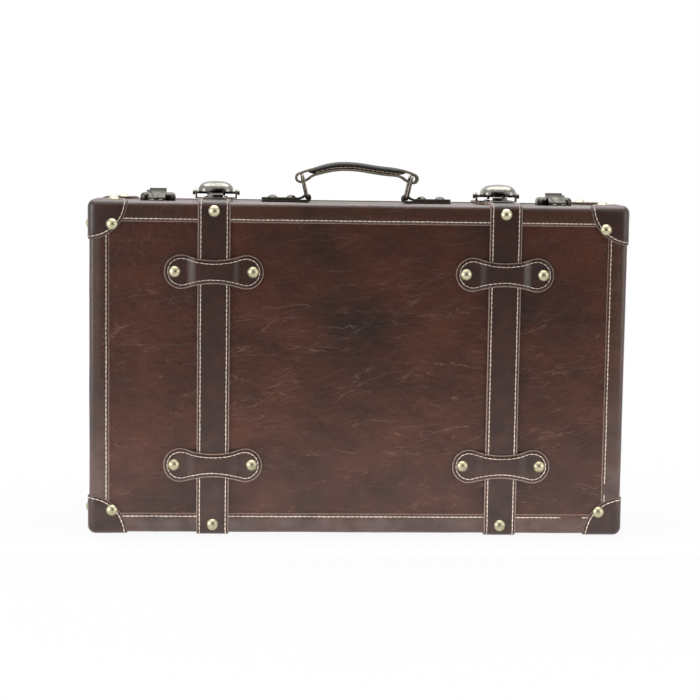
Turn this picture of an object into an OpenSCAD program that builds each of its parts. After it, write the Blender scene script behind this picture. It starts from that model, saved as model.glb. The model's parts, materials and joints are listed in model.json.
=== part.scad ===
// Vintage suitcase of leather-covered boards, standing on its hinge side, front face towards -Y.
// The lid is the front half and the base is the back half. Sizes are in millimetres.

/* [Case] */
// Width over the leather
case_w = 496; // [460:1:560]
// Height over the leather
case_h = 306; // [290:1:360]
// Depth over the leather, lid and base together
case_d = 160; // [150:1:200]
// Depth of the lid, from its face to the parting line
lid_d = 58; // [54:1:66]
// Radius of the case corners, seen from the front
corner_r = 6; // [6:0.5:10]
// Radius of the rolled edges round each face
edge_r = 4.5; // [3.5:0.5:5.5]
// Gap between lid and base along the parting line
part_gap = 0.4; // [0.3:0.1:0.8]

/* [Walls] */
// Thickness of the leather covering
leather_t = 1.2; // [1:0.1:1.8]
// Thickness of the plywood boards
board_t = 6; // [5:0.5:8]
// Thickness of the lining
lining_t = 1; // [0.6:0.1:1.4]
// Thickness of the rim lip that keeps dust out
lip_t = 2.5; // [2:0.5:4]
// How far the rim lip stands into the lid
lip_out = 6; // [4:0.5:8]
// How far the rim lip reaches down inside the base
lip_in = 22; // [15:1:30]
// Room between the end of the lid's lining and the rim lip
lip_room = 1.5; // [1:0.5:3]

/* [Leather trim] */
// Width of the edge band on the face and on the walls
band_w = 18; // [14:1:22]
// Thickness of the edge band
band_t = 0.8; // [0.5:0.1:1.2]
// Radius of the corner patches
cap_r = 35; // [32:1:40]
// Thickness of the corner patches
cap_t = 1.4; // [1:0.1:2]
// Distance of the straps' middles from the ends of the case
strap_inset = 113.5; // [103:0.5:123]
// Width of the straps
strap_w = 30; // [26:1:34]
// Thickness of the straps over the edge band
strap_t = 1.8; // [1.4:0.1:2.4]
// Distance from the parting line to the strap ends
strap_stop = 3; // [2:0.5:5]
// Length of the strap tabs, nailed across the straps
tab_l = 91.5; // [86:0.5:96]
// Height of the tabs' round ends
tab_lobe = 31.6; // [28:0.2:34]
// Height of the tabs' waist
tab_waist = 21.8; // [18:0.2:24]
// Thickness of the tabs
tab_t = 1.8; // [1.4:0.1:2.4]
// Distance of the tabs from mid height
tab_z = 89.7; // [80:0.5:100]
// Length of the slope where a tab climbs over a strap
tab_slope = 4; // [3:0.5:6]

/* [Dome nails] */
// Diameter of the dome nails
nail_d = 11; // [9:0.5:12]
// Height of a dome
nail_h = 3.2; // [2.6:0.1:4]
// How much of the four standing domes is worn flat
foot_cut = 0.4; // [0.2:0.1:0.8]
// Diameter of the nail shanks
shank_d = 2; // [1.6:0.1:2.4]
// Length of the nail shanks
shank_l = 7.5; // [6.5:0.5:8]
// Distance of the corner nails from the case's edges
nail_inset = 20.4; // [18:0.2:23]
// Distance of the strap nails from the upper and lower edges
strap_nail_inset = 7.6; // [7:0.2:12]
// Distance of the tab nails from the strap's middle
tab_nail_x = 36; // [33:0.5:38]

/* [Hinges] */
// Distance of each hinge from the middle of the case
hinge_x = 75; // [60:1:90]
// Length of each hinge
hinge_l = 50; // [40:1:60]
// Width of one hinge leaf, from the axis
hinge_leaf_w = 20; // [16:1:24]
// Thickness of the hinge leaves
hinge_leaf_t = 1.2; // [1:0.1:1.6]
// Radius of the hinge barrel
barrel_r = 2.4; // [2.2:0.1:2.6]
// Drop of the hinge axis below the leather
barrel_drop = 1.8; // [1.7:0.1:2]
// Radius of the hinge pins
hinge_pin_r = 1.2; // [1:0.1:1.4]

/* [Strap latches] */
// Width of the domed lever
lever_w = 33; // [30:0.5:34]
// Height of the lever's crown over the case top
lever_top = 19.5; // [18:0.5:22]
// Height of the lever's rim over the case top
lever_rim = 10.5; // [10:0.5:12]
// Reach of the lever in front of the parting line
lever_reach = 13; // [11:0.5:15]
// Wall of the lever
lever_t = 1.4; // [1:0.1:1.8]
// Radius of the lever's corners, seen from above
lever_corner_r = 10; // [9.2:0.2:12]
// Distance of the lever's pin behind the parting line
lever_pin_y = 18; // [16:0.5:20]
// Height of the lever's pin over the case top
lever_pin_z = 8.5; // [8.2:0.1:9]
// Radius of the lever's pin
lever_pin_r = 1.5; // [1.2:0.1:1.8]
// Length of the lever's pin between its knobs
lever_pin_l = 40.4; // [39.4:0.2:43]
// Width of the lever's claw
claw_w = 14; // [10:0.5:16]
// Gap of the resting claw over the keeper's rib
claw_gap = 0.4; // [0.3:0.1:0.6]
// Height of the keeper's rib over its plate
rib_h = 3.2; // [2.8:0.1:3.6]
// Thickness of the latch plates and keepers
plate_t = 1.2; // [1:0.1:1.5]
// Width of the latch plates and keepers
plate_w = 27; // [22:1:29]

/* [Side locks] */
// Distance of the side locks' middles from the ends of the case
lock_inset = 58.5; // [48:0.5:66]
// Width of the lock case
lock_w = 33; // [30:0.5:36]
// Length of the lock case, front to back
lock_l = 24; // [23:0.5:28]
// Height of the lock case
lock_h = 7.9; // [7.6:0.1:8.4]
// Wall of the lock case
lock_t = 1.4; // [1:0.1:1.6]
// Width of the hasp
hasp_w = 16; // [14:0.5:18]
// Thickness of the hasp
hasp_t = 1.4; // [1.2:0.1:1.8]
// Height of the hasp's finger lip over the case top
hasp_lip = 12; // [11.4:0.2:13]
// Travel of the lock button
button_travel = 4; // [3.6:0.1:4.2]

/* [Handle] */
// Distance of each ring's lower bar from the middle of the case
ring_x = 47.7; // [44:0.1:52]
// Height of the lower bars over the case top
ring_z = 4.3; // [4.2:0.1:5]
// Distance from a ring's lower bar to its upper bar
ring_l = 21.6; // [20:0.2:24]
// Outward lean of the rings, in degrees
ring_lean = 12.8; // [8:0.1:16]
// Width of the rings between their side bars' middles
ring_w = 24.4; // [23.6:0.2:26]
// Radius of the ring wire
wire_r = 1.6; // [1.4:0.1:1.8]
// Height of the grip's crown over the rings' upper bars
grip_rise = 9.7; // [7:0.1:12]
// Thickness of the grip
grip_t = 8; // [7:0.5:9]
// Width of the grip
grip_w = 20; // [17:0.5:20]
// Width of the chapes and of the grip's end loops
chape_w = 18; // [16:0.5:19]
// Thickness of the leather of the chapes and loops
chape_t = 2.2; // [1.8:0.1:2.3]
// Length of the chapes, from the lower bar to the tail
chape_l = 43.5; // [40:0.5:48]

/* [Hidden] */
$fn = 48;
// Running clearance between a pin and its bore
pin_fit = 0.05;
// Clearance between loose metal and leather loops
loose_fit = 0.3;
// Clearance between moving parts that pass each other
pass_fit = 0.4;
// Overshoot of cutting shapes
eps = 1;

// Places that the sizes above give
base_d = case_d - lid_d;
half_w = case_w / 2;
half_h = case_h / 2;
foot_h = band_t + cap_t + nail_h - foot_cut;
mid_z = foot_h + half_h;
top_z = foot_h + case_h;
part_y = lid_d - case_d / 2;
strap_x = half_w - strap_inset;
lock_x = half_w - lock_inset;
wall_t = leather_t + board_t;
lined_t = wall_t + lining_t;
strap_out = band_t + strap_t;
cap_out = band_t + cap_t;
tab_room = 0.2;
lid_rim = lid_d - part_gap / 2;
base_rim = base_d - part_gap / 2;

// Hinge places
hinge_z = foot_h - barrel_drop;
knuckle_l = hinge_l / 3;
hinge_rivet_y = (hinge_leaf_w + barrel_r + pass_fit) / 2;
pin_head_l = 0.8;

// Latch places
lever_tail = 3.5;
lever_back = lever_pin_y + lever_tail;
lever_l = lever_reach + lever_back;
lever_skirt = 0.8;
lever_edge_r = lever_top - lever_rim - lever_skirt;
cheek_x = 7.5;
cheek_w = 2.2;
cheek_r = 3.3;
ear_t = 1.6;
ear_gap = 1.7;
ear_r = 3.4;
plate_z = strap_out + plate_t;
rib_top = plate_z + rib_h;
rib_gap = 0.9;
rib_t = 1.8;
keeper_l = 19;
latch_plate_end = lever_pin_y + 9;
rivet_edge = 1;

// Lock places
hasp_pin_y = -12;
hasp_pin_z = 2.2;
hasp_pin_r = 0.9;
hasp_barrel_r = 2;
hasp_under = lock_h + loose_fit;
hasp_end = 14;
hasp_leaf_l = 14;
hasp_knuckle_w = hasp_w / 2;
tongue_t = 2.4;
tongue_y = [5, 11];
tongue_foot = 3;
eye_y = [6, 10];
eye_z = [3.8, 6.6];
bolt_t = 1.6;
bolt_z = lock_h - lock_t - loose_fit - bolt_t;
bolt_y = [7, 9];
bolt_rest = tongue_t / 2 + 2 * loose_fit;
button_y = 19;
stem_w = 3;
lock_front = 1;
lock_corner_r = 5;
lock_edge_r = 4;
stem_x = bolt_rest + 6;
lock_mid = lock_front + lock_l / 2;

// Handle places
bar_x = ring_x + ring_l * sin(ring_lean);
bar_z = ring_z + ring_l * cos(ring_lean);
grip_r = (bar_x * bar_x + grip_rise * grip_rise) / (2 * grip_rise);
grip_mid_z = top_z + bar_z + grip_rise - grip_r;
bar_angle = asin(bar_x / grip_r);
loop_play = 1.4;
loop_bore_r = wire_r + loop_play;
loop_drop = loop_play - loose_fit;
loop_r = loop_bore_r + chape_t;
loop_in = 7;
loop_out = 2.2;
loop_stem = 15;
grip_angle = bar_angle - (loop_in + loop_r) / grip_r * 180 / PI;
chape_bore_r = wire_r + loose_fit;
chape_roll_r = chape_bore_r + chape_t;
chape_rivet_x = [ring_x + 15, ring_x + 33];

// Rivets
rivet_d = 5;
rivet_h = 1.2;
rivet_l = 6;
chape_rivet_d = 10;
chape_rivet_h = 2.5;

// Colours
leather_c = [0.27, 0.18, 0.15];
strap_c = [0.20, 0.15, 0.13];
wood_c = [0.75, 0.62, 0.44];
lining_c = [0.62, 0.55, 0.45];
nail_c = [0.72, 0.66, 0.56];
metal_c = [0.66, 0.64, 0.60];
ring_c = [0.42, 0.40, 0.36];

// Shared shapes

// Places children on the lid: x to the right, y up from mid height, z out of the front face
module on_lid() {
  translate([0, -case_d / 2, mid_z]) rotate([90, 0, 0]) children();
}

// The same on the base, whose face looks backwards
module on_base() {
  mirror([0, 1, 0]) on_lid() children();
}

// Places children on the case top, with y measured back from the parting line
module on_top(x) {
  translate([x, part_y, top_z]) children();
}

// Left-hand copy of a right-hand piece
module left_hand() {
  mirror([1, 0, 0]) children();
}

// Both copies of a piece
module both_hands() {
  children();
  left_hand() children();
}

// Section of a block's rolled edge: x outwards from the corner's middle, y up to the face at 0
module edge_section(depth, corner, edge) {
  flat = corner - edge;
  translate([0, -depth]) square([flat, depth]);
  translate([flat, -depth]) square([edge, depth - edge]);
  intersection() {
    translate([flat, -edge]) circle(edge);
    translate([flat, -edge]) square([edge, edge]);
  }
}

// Block with round corners and a rolled upper edge, face at z = 0, centred on x and y
module rolled_block(w, h, depth, corner, edge) {
  run_x = w / 2 - corner;
  run_y = h / 2 - corner;
  for (sx = [0, 1], sy = [0, 1])
    mirror([sx, 0, 0]) mirror([0, sy, 0]) translate([run_x, run_y, 0])
      rotate_extrude(angle = 90) edge_section(depth, corner, edge);
  for (sy = [0, 1])
    mirror([0, sy, 0]) translate([-run_x, run_y, 0])
      rotate([90, 0, 90]) linear_extrude(2 * run_x) edge_section(depth, corner, edge);
  for (sx = [0, 1])
    mirror([sx, 0, 0]) translate([run_x, run_y, 0])
      rotate([90, 0, 0]) linear_extrude(2 * run_y) edge_section(depth, corner, edge);
  translate([-run_x, -run_y, -depth]) cube([2 * run_x, 2 * run_y, depth]);
}

// One half of the case, grown outwards by out, down to the given depth under its face
module grown_half(out, depth) {
  translate([0, 0, out])
    rolled_block(case_w + 2 * out, case_h + 2 * out, depth + out, corner_r + out, edge_r + out);
}

// Open box round the inside of the case walls, from depth a to depth b
module inner_box(wall, a, b) {
  translate([-half_w + wall, -half_h + wall, -b]) cube([case_w - 2 * wall, case_h - 2 * wall, b - a]);
}

// The edge band as a filled step, which the straps and patches lie on
module band_step() {
  difference() {
    grown_half(band_t, band_w);
    translate([0, 0, -band_w - eps])
      linear_extrude(band_w + 2 * eps + band_t)
        square([case_w - 2 * band_w, case_h - 2 * band_w], center = true);
  }
}

// Dome with a nail shank, seated at z = 0
module dome_nail(d, h, cut, shank) {
  ball_r = (d * d / 4 + h * h) / (2 * h);
  intersection() {
    translate([0, 0, h - ball_r]) sphere(ball_r);
    translate([-d, -d, 0]) cube([2 * d, 2 * d, h - cut]);
  }
  translate([0, 0, -shank]) cylinder(d = shank_d, h = shank);
}

// Round bar along X
module bar_x_way(r, l) {
  rotate([0, 90, 0]) cylinder(r = r, h = l, center = true);
}

// Outline in the plane of Y and Z, pushed along X over the given width
module side_cut(w) {
  translate([-w / 2, 0, 0]) rotate([90, 0, 90]) linear_extrude(w) children();
}

// Pieces of one half, in that half's own frame

module face_board() {
  grown_half(-leather_t, wall_t);
}

// Wall board above (side = 1) or below (side = -1) the hollow, over the full width
module long_board(rim, side) {
  intersection() {
    grown_half(-leather_t, rim);
    translate([-half_w, side > 0 ? half_h - wall_t : -half_h, -rim]) cube([case_w, wall_t, rim - wall_t]);
  }
}

// Wall board at the right (side = 1) or left (side = -1), between the long boards
module short_board(rim, side) {
  intersection() {
    grown_half(-leather_t, rim);
    translate([side > 0 ? half_w - wall_t : -half_w, -half_h + wall_t, -rim])
      cube([wall_t, case_h - 2 * wall_t, rim - wall_t]);
  }
}

module leather_cover(rim) {
  difference() {
    grown_half(0, rim);
    grown_half(-leather_t, rim + eps);
  }
}

module edge_band() {
  difference() {
    band_step();
    grown_half(0, band_w + eps);
  }
}

module lining(floor_end) {
  difference() {
    inner_box(wall_t, wall_t, floor_end);
    inner_box(lined_t, lined_t, floor_end + eps);
  }
}

module corner_caps() {
  difference() {
    intersection() {
      grown_half(cap_out, cap_r);
      union() {
        for (sx = [-1, 1], sy = [-1, 1]) translate([sx * half_w, sy * half_h, 0]) sphere(cap_r);
      }
    }
    grown_half(0, cap_r + eps);
    band_step();
  }
}

module strap(rim, x) {
  difference() {
    intersection() {
      grown_half(strap_out, rim - strap_stop);
      translate([x - strap_w / 2, -case_h, -rim]) cube([strap_w, 2 * case_h, 2 * rim]);
    }
    grown_half(0, rim);
    band_step();
  }
}

// Outline of a strap tab: two round ends and a waist drawn in by arcs
module tab_outline() {
  lobe_r = tab_lobe / 2;
  lobe_x = tab_l / 2 - lobe_r;
  waist = tab_waist / 2;
  waist_r = (lobe_x * lobe_x + waist * waist - lobe_r * lobe_r) / (2 * (lobe_r - waist));
  reach = lobe_x * waist_r / (waist_r + lobe_r);
  side = waist + waist_r - (waist + waist_r) * waist_r / (waist_r + lobe_r);
  for (s = [-1, 1]) translate([s * lobe_x, 0]) circle(lobe_r);
  difference() {
    square([2 * reach, 2 * side], center = true);
    for (s = [-1, 1]) translate([0, s * (waist + waist_r)]) circle(waist_r);
  }
}

// Section of a strap tab, which lies on the face and climbs over the strap
module tab_section() {
  end = tab_l / 2 + eps;
  foot = strap_w / 2 + tab_slope;
  crest = strap_w / 2 + tab_room;
  draw = tab_t / 4;
  polygon([
    [-end, 0], [-foot, 0], [-crest, strap_out], [crest, strap_out], [foot, 0], [end, 0],
    [end, tab_t], [foot + draw, tab_t], [crest + draw, strap_out + tab_t],
    [-crest - draw, strap_out + tab_t], [-foot - draw, tab_t], [-end, tab_t]
  ]);
}

module strap_tabs() {
  for (sx = [-1, 1], sy = [-1, 1])
    translate([sx * strap_x, sy * tab_z, 0]) intersection() {
      linear_extrude(3 * (strap_out + tab_t)) tab_outline();
      translate([0, tab_lobe, 0]) rotate([90, 0, 0]) linear_extrude(2 * tab_lobe) tab_section();
    }
}

module face_nails() {
  for (sx = [-1, 1], sy = [-1, 1]) {
    translate([sx * (half_w - nail_inset), sy * (half_h - nail_inset), cap_out])
      dome_nail(nail_d, nail_h, 0, shank_l);
    translate([sx * strap_x, sy * (half_h - strap_nail_inset), strap_out])
      dome_nail(nail_d, nail_h, 0, shank_l);
    for (k = [-1, 1])
      translate([sx * strap_x + k * tab_nail_x, sy * tab_z, tab_t])
        dome_nail(nail_d, nail_h, 0, shank_l);
  }
}

module wall_nails() {
  for (sx = [0, 1]) mirror([sx, 0, 0]) {
    translate([half_w - nail_inset, half_h + cap_out, -nail_inset]) rotate([-90, 0, 0])
      dome_nail(nail_d, nail_h, 0, shank_l);
    for (sy = [-1, 1])
      translate([half_w + cap_out, sy * (half_h - nail_inset), -nail_inset]) rotate([0, 90, 0])
        dome_nail(nail_d, nail_h, 0, shank_l);
  }
}

module feet() {
  for (sx = [-1, 1])
    translate([sx * (half_w - nail_inset), -half_h - cap_out, -nail_inset]) rotate([90, 0, 0])
      dome_nail(nail_d, nail_h, foot_cut, shank_l);
}

// Hinges

// Places children at a hinge: x along its axis, y back from the axis, z up
module at_hinge(x) {
  translate([x, part_y, hinge_z]) children();
}

// Room for the hinge barrels in the leather
module barrel_room() {
  for (s = [-1, 1]) at_hinge(s * hinge_x)
    bar_x_way(barrel_r + pass_fit, hinge_l + 2 * (pin_head_l + pass_fit));
}

// One knuckle between two places along the axis, with the tongue that joins it to its leaf
module knuckle(a, b) {
  translate([(a + b) / 2, 0, 0]) side_cut(b - a) difference() {
    union() {
      circle(barrel_r);
      translate([0, barrel_drop - hinge_leaf_t]) square([barrel_r + 2 * pass_fit, hinge_leaf_t]);
    }
    circle(hinge_pin_r + pin_fit);
  }
}

// Leaf with its knuckles, which lies on the y side of the axis
module hinge_leaf(knuckles) {
  start = barrel_r + pass_fit;
  for (k = knuckles) knuckle(k[0], k[1]);
  translate([-hinge_l / 2, start, barrel_drop - hinge_leaf_t])
    cube([hinge_l, hinge_leaf_w - start, hinge_leaf_t]);
}

module hinge_rivets() {
  for (k = [-1, 0, 1])
    translate([k * knuckle_l, hinge_rivet_y, barrel_drop - hinge_leaf_t]) rotate([180, 0, 0])
      dome_nail(rivet_d, rivet_h, 0, rivet_l);
}

// Strap latches, in the frame of on_top

module latch_plate() {
  wing_w = lever_w + 2 * (ear_gap + ear_t);
  ear_mid = lever_w / 2 + ear_gap + ear_t / 2;
  translate([-plate_w / 2, strap_stop, strap_out]) cube([plate_w, latch_plate_end - strap_stop, plate_t]);
  translate([-wing_w / 2, lever_pin_y - ear_r, strap_out]) cube([wing_w, 2 * ear_r, plate_t]);
  for (s = [-1, 1]) translate([s * ear_mid, 0, 0]) difference() {
    side_cut(ear_t) union() {
      translate([lever_pin_y, lever_pin_z]) circle(ear_r);
      translate([lever_pin_y - ear_r, strap_out]) square([2 * ear_r, lever_pin_z - strap_out]);
    }
    translate([0, lever_pin_y, lever_pin_z]) bar_x_way(lever_pin_r + pin_fit, 2 * ear_t);
  }
}

module latch_pin() {
  knob_l = 2.2;
  translate([0, lever_pin_y, lever_pin_z]) {
    bar_x_way(lever_pin_r, lever_pin_l);
    for (s = [-1, 1]) translate([s * (lever_pin_l + knob_l) / 2, 0, 0]) bar_x_way(lever_pin_r + 1, knob_l);
  }
}

module latch_lever() {
  inner_w = lever_w - 2 * lever_t;
  mid_y = lever_back - lever_l / 2;
  claw_foot = rib_top + claw_gap;
  difference() {
    union() {
      difference() {
        translate([0, mid_y, lever_top])
          rolled_block(lever_w, lever_l, lever_top - lever_rim, lever_corner_r, lever_edge_r);
        translate([0, mid_y, lever_top - lever_t])
          rolled_block(inner_w, lever_l - 2 * lever_t, lever_top - lever_rim - lever_t + eps,
                       lever_corner_r - lever_t, lever_edge_r - lever_t);
      }
      for (s = [-1, 1])
        translate([s * cheek_x, 0, 0]) side_cut(cheek_w) union() {
          translate([lever_pin_y, lever_pin_z]) circle(cheek_r);
          translate([lever_pin_y - 2 * cheek_r, lever_pin_z])
            square([3 * cheek_r - lever_t, lever_rim + lever_edge_r / 2 - lever_pin_z]);
        }
      translate([-claw_w / 2, -lever_reach, claw_foot])
        cube([claw_w, lever_t, lever_rim + lever_skirt - claw_foot]);
    }
    translate([0, lever_pin_y, lever_pin_z]) bar_x_way(lever_pin_r + pin_fit, 2 * lever_w);
  }
}

module keeper() {
  rib_y = -lever_reach + lever_t + rib_gap;
  translate([-plate_w / 2, -strap_stop - keeper_l, strap_out]) cube([plate_w, keeper_l, plate_t]);
  translate([-claw_w / 2, rib_y, plate_z]) cube([claw_w, rib_t, rib_h]);
}

module keeper_rivet_set() {
  for (s = [-1, 1])
    translate([s * plate_w / 3, -strap_stop - keeper_l + rivet_d / 2 + rivet_edge, plate_z])
      dome_nail(rivet_d, rivet_h, 0, rivet_l);
}

module latch_rivet_set() {
  for (s = [-1, 1], y = [strap_stop + rivet_d, latch_plate_end - rivet_d / 2 - rivet_edge])
    translate([s * plate_w / 3, y, plate_z]) dome_nail(rivet_d, rivet_h, 0, rivet_l);
}

// Side locks, in the frame of on_top, as the right-hand lock

module lock_case() {
  slot_w = tongue_t + 4 * loose_fit;
  difference() {
    translate([0, lock_mid, lock_h]) rolled_block(lock_w, lock_l, lock_h, lock_corner_r, lock_edge_r);
    translate([0, lock_mid, lock_h - lock_t])
      rolled_block(lock_w - 2 * lock_t, lock_l - 2 * lock_t, lock_h - lock_t + eps,
                   lock_corner_r - lock_t, lock_edge_r - lock_t);
    translate([-slot_w / 2, 0, -eps]) cube([slot_w, hasp_end + loose_fit, lock_h + 2 * eps]);
    translate([stem_x - stem_w / 2 - loose_fit - button_travel, button_y - stem_w / 2 - loose_fit, 0])
      cube([stem_w + 2 * loose_fit + button_travel, stem_w + 2 * loose_fit, lock_h + eps]);
  }
}

module lock_button() {
  cap_w = 7;
  cap_l = 5;
  cap_h = 1.8;
  arm_w = 4;
  translate([bolt_rest, bolt_y[0], bolt_z]) cube([arm_w + 4, bolt_y[1] - bolt_y[0], bolt_t]);
  translate([stem_x - arm_w / 2, bolt_y[0], bolt_z])
    cube([arm_w, button_y + arm_w / 2 - bolt_y[0], bolt_t]);
  translate([stem_x - stem_w / 2, button_y - stem_w / 2, bolt_z])
    cube([stem_w, stem_w, lock_h + loose_fit + cap_h - bolt_z]);
  translate([stem_x, button_y, lock_h + loose_fit + cap_h])
    rolled_block(cap_w, cap_l, cap_h, 1.6, 0.8);
}

module hasp_leaf() {
  side = (hasp_w - hasp_knuckle_w) / 2 - loose_fit;
  difference() {
    union() {
      translate([-hasp_w / 2, hasp_pin_y - hasp_leaf_l, 0])
        cube([hasp_w, hasp_leaf_l - hasp_barrel_r - pass_fit, plate_t]);
      for (s = [-1, 1]) translate([s * (hasp_w - side) / 2, 0, 0]) {
        translate([0, hasp_pin_y, hasp_pin_z]) bar_x_way(hasp_barrel_r, side);
        translate([-side / 2, hasp_pin_y - hasp_leaf_l / 2, 0]) cube([side, hasp_leaf_l / 2, plate_t]);
      }
    }
    translate([0, hasp_pin_y, hasp_pin_z]) bar_x_way(hasp_pin_r + pin_fit, 2 * hasp_w);
  }
}

module hasp_leaf_rivet_set() {
  for (s = [-1, 1])
    translate([s * hasp_w / 4, hasp_pin_y - hasp_leaf_l + rivet_d / 2 + rivet_edge, plate_t])
      dome_nail(rivet_d, rivet_h, 0, rivet_l);
}

module hasp_pin() {
  translate([0, hasp_pin_y, hasp_pin_z]) bar_x_way(hasp_pin_r, hasp_w);
}

module hasp() {
  over = hasp_under + hasp_t;
  rise_y = hasp_pin_y + hasp_barrel_r + 2 * pass_fit;
  difference() {
    union() {
      translate([0, hasp_pin_y, hasp_pin_z]) bar_x_way(hasp_barrel_r, hasp_knuckle_w);
      side_cut(hasp_knuckle_w) polygon([
        [hasp_pin_y, hasp_pin_z], [rise_y + 1, hasp_pin_z], [rise_y + 1, hasp_pin_z + hasp_barrel_r],
        [hasp_pin_y, hasp_pin_z + hasp_barrel_r]
      ]);
      side_cut(hasp_w) polygon([
        [rise_y, hasp_pin_z], [rise_y + hasp_t, hasp_pin_z], [-hasp_t, hasp_under],
        [hasp_end, hasp_under], [hasp_end, hasp_lip], [hasp_end - hasp_t, hasp_lip],
        [hasp_end - hasp_t - 1, over], [-hasp_t - 1, over], [rise_y, hasp_pin_z + hasp_barrel_r]
      ]);
      translate([-tongue_t / 2, tongue_y[0], tongue_foot])
        cube([tongue_t, tongue_y[1] - tongue_y[0], hasp_under + hasp_t / 2 - tongue_foot]);
    }
    translate([0, hasp_pin_y, hasp_pin_z]) bar_x_way(hasp_pin_r + pin_fit, 2 * hasp_w);
    translate([-tongue_t, eye_y[0], eye_z[0]])
      cube([2 * tongue_t, eye_y[1] - eye_y[0], eye_z[1] - eye_z[0]]);
  }
}

// Handle, in the frame of the case top's middle

// Rectangular wire ring with round corners, upright on its lower bar
module ring_upright() {
  bend = 2 * wire_r;
  bar_l = ring_w - 2 * bend;
  side_l = ring_l - 2 * bend;
  for (z = [0, ring_l]) translate([0, 0, z]) rotate([90, 0, 0])
    cylinder(r = wire_r, h = bar_l, center = true);
  for (s = [-1, 1]) translate([0, s * ring_w / 2, bend]) cylinder(r = wire_r, h = side_l);
  for (s = [0, 1], t = [0, 1])
    mirror([0, s, 0]) translate([0, 0, ring_l / 2]) mirror([0, 0, t])
      translate([0, bar_l / 2, side_l / 2]) rotate([90, 0, 90])
        rotate_extrude(angle = 90) translate([bend, 0]) circle(wire_r);
}

module ring() {
  translate([ring_x, 0, top_z + ring_z]) rotate([0, ring_lean, 0]) ring_upright();
}

module chape() {
  tail_x = ring_x + chape_l;
  translate([0, 0, top_z]) intersection() {
    translate([0, chape_w / 2, 0]) rotate([90, 0, 0]) linear_extrude(chape_w) difference() {
      union() {
        translate([ring_x, ring_z]) circle(chape_roll_r);
        translate([ring_x, 0]) square([chape_l, 2 * chape_t]);
      }
      translate([ring_x, ring_z]) circle(chape_bore_r);
    }
    linear_extrude(4 * chape_roll_r) union() {
      translate([0, -chape_w / 2]) square([tail_x - chape_w / 2, chape_w]);
      translate([tail_x - chape_w / 2, 0]) circle(chape_w / 2);
    }
  }
}

module chape_rivet_set() {
  for (x = chape_rivet_x) translate([x, 0, top_z + 2 * chape_t])
    dome_nail(chape_rivet_d, chape_rivet_h, 0, rivet_l + 2 * chape_t);
}

// Loop that hangs on the upper bar of a ring, in the plane of X and Z with the bar at the origin
module loop_outline() {
  stem_t = grip_t - 1;
  translate([0, -loop_drop]) difference() {
    union() {
      for (x = [-loop_in, loop_out]) translate([x, 0]) circle(loop_r);
      translate([-loop_in, -loop_r]) square([loop_in + loop_out, 2 * loop_r]);
      translate([-loop_stem, -stem_t / 2]) square([loop_stem - loop_in, stem_t]);
    }
    for (x = [-loop_in, loop_out]) translate([x, 0]) circle(loop_bore_r);
    translate([-loop_in, -loop_bore_r]) square([loop_in + loop_out, 2 * loop_bore_r]);
  }
}

module grip_section() {
  side = (grip_w - grip_t) / 2;
  translate([grip_r, 0]) {
    square([grip_t, 2 * side], center = true);
    for (s = [-1, 1]) translate([0, s * side]) circle(grip_t / 2);
  }
}

module grip() {
  translate([0, 0, grip_mid_z]) {
    rotate([90, 0, 0]) rotate([0, 0, 90 - grip_angle]) rotate_extrude(angle = 2 * grip_angle) grip_section();
    both_hands() rotate([0, bar_angle, 0]) translate([0, chape_w / 2, grip_r])
      rotate([90, 0, 0]) linear_extrude(chape_w) loop_outline();
  }
}

// Nodes of the base

module base_back_board() { color(wood_c) on_base() face_board(); }
module base_top_board() { color(wood_c) on_base() long_board(base_rim, 1); }
module base_bottom_board() { color(wood_c) on_base() long_board(base_rim, -1); }
module base_left_board() { color(wood_c) on_base() short_board(base_rim, -1); }
module base_right_board() { color(wood_c) on_base() short_board(base_rim, 1); }
module base_leather() {
  color(leather_c) difference() {
    on_base() leather_cover(base_rim);
    barrel_room();
  }
}
module base_edge_band() { color(leather_c) on_base() edge_band(); }
module base_lining() { color(lining_c) on_base() lining(base_rim); }
module rim_lip() {
  color(lining_c) on_base() difference() {
    inner_box(lined_t, base_rim - lip_in, base_rim + part_gap + lip_out);
    inner_box(lined_t + lip_t, base_rim - lip_in - eps, base_rim + part_gap + lip_out + eps);
  }
}
module base_corner_caps() { color(strap_c) on_base() corner_caps(); }
module base_strap_left() { color(strap_c) on_base() strap(base_rim, -strap_x); }
module base_strap_right() { color(strap_c) on_base() strap(base_rim, strap_x); }
module base_strap_tabs() { color(strap_c) on_base() strap_tabs(); }
module base_nails() { color(nail_c) on_base() { face_nails(); wall_nails(); } }
module base_feet() { color(nail_c) on_base() feet(); }
module base_hinge_leaves() {
  end = hinge_l / 2 - loose_fit;
  color(metal_c) for (s = [-1, 1]) at_hinge(s * hinge_x)
    hinge_leaf([[-end, -knuckle_l / 2], [knuckle_l / 2, end]]);
}
module hinge_pins() {
  color(metal_c) for (s = [-1, 1]) at_hinge(s * hinge_x) {
    bar_x_way(hinge_pin_r, hinge_l + 2 * pin_head_l);
    for (k = [-1, 1]) translate([k * (hinge_l + pin_head_l + loose_fit) / 2, 0, 0])
      bar_x_way(barrel_r - pass_fit, pin_head_l - loose_fit);
  }
}
module base_hinge_rivets() { color(metal_c) for (s = [-1, 1]) at_hinge(s * hinge_x) hinge_rivets(); }
module chape_left() { color(strap_c) left_hand() chape(); }
module chape_right() { color(strap_c) chape(); }
module chape_rivets() { color(nail_c) both_hands() chape_rivet_set(); }
module latch_plate_left() { color(metal_c) on_top(-strap_x) latch_plate(); }
module latch_plate_right() { color(metal_c) on_top(strap_x) latch_plate(); }
module latch_plate_rivets() { color(metal_c) both_hands() on_top(strap_x) latch_rivet_set(); }
module latch_pins() { color(metal_c) both_hands() on_top(strap_x) latch_pin(); }
module lock_case_left() { color(metal_c) left_hand() on_top(lock_x) lock_case(); }
module lock_case_right() { color(metal_c) on_top(lock_x) lock_case(); }

// Nodes of the lid

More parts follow.
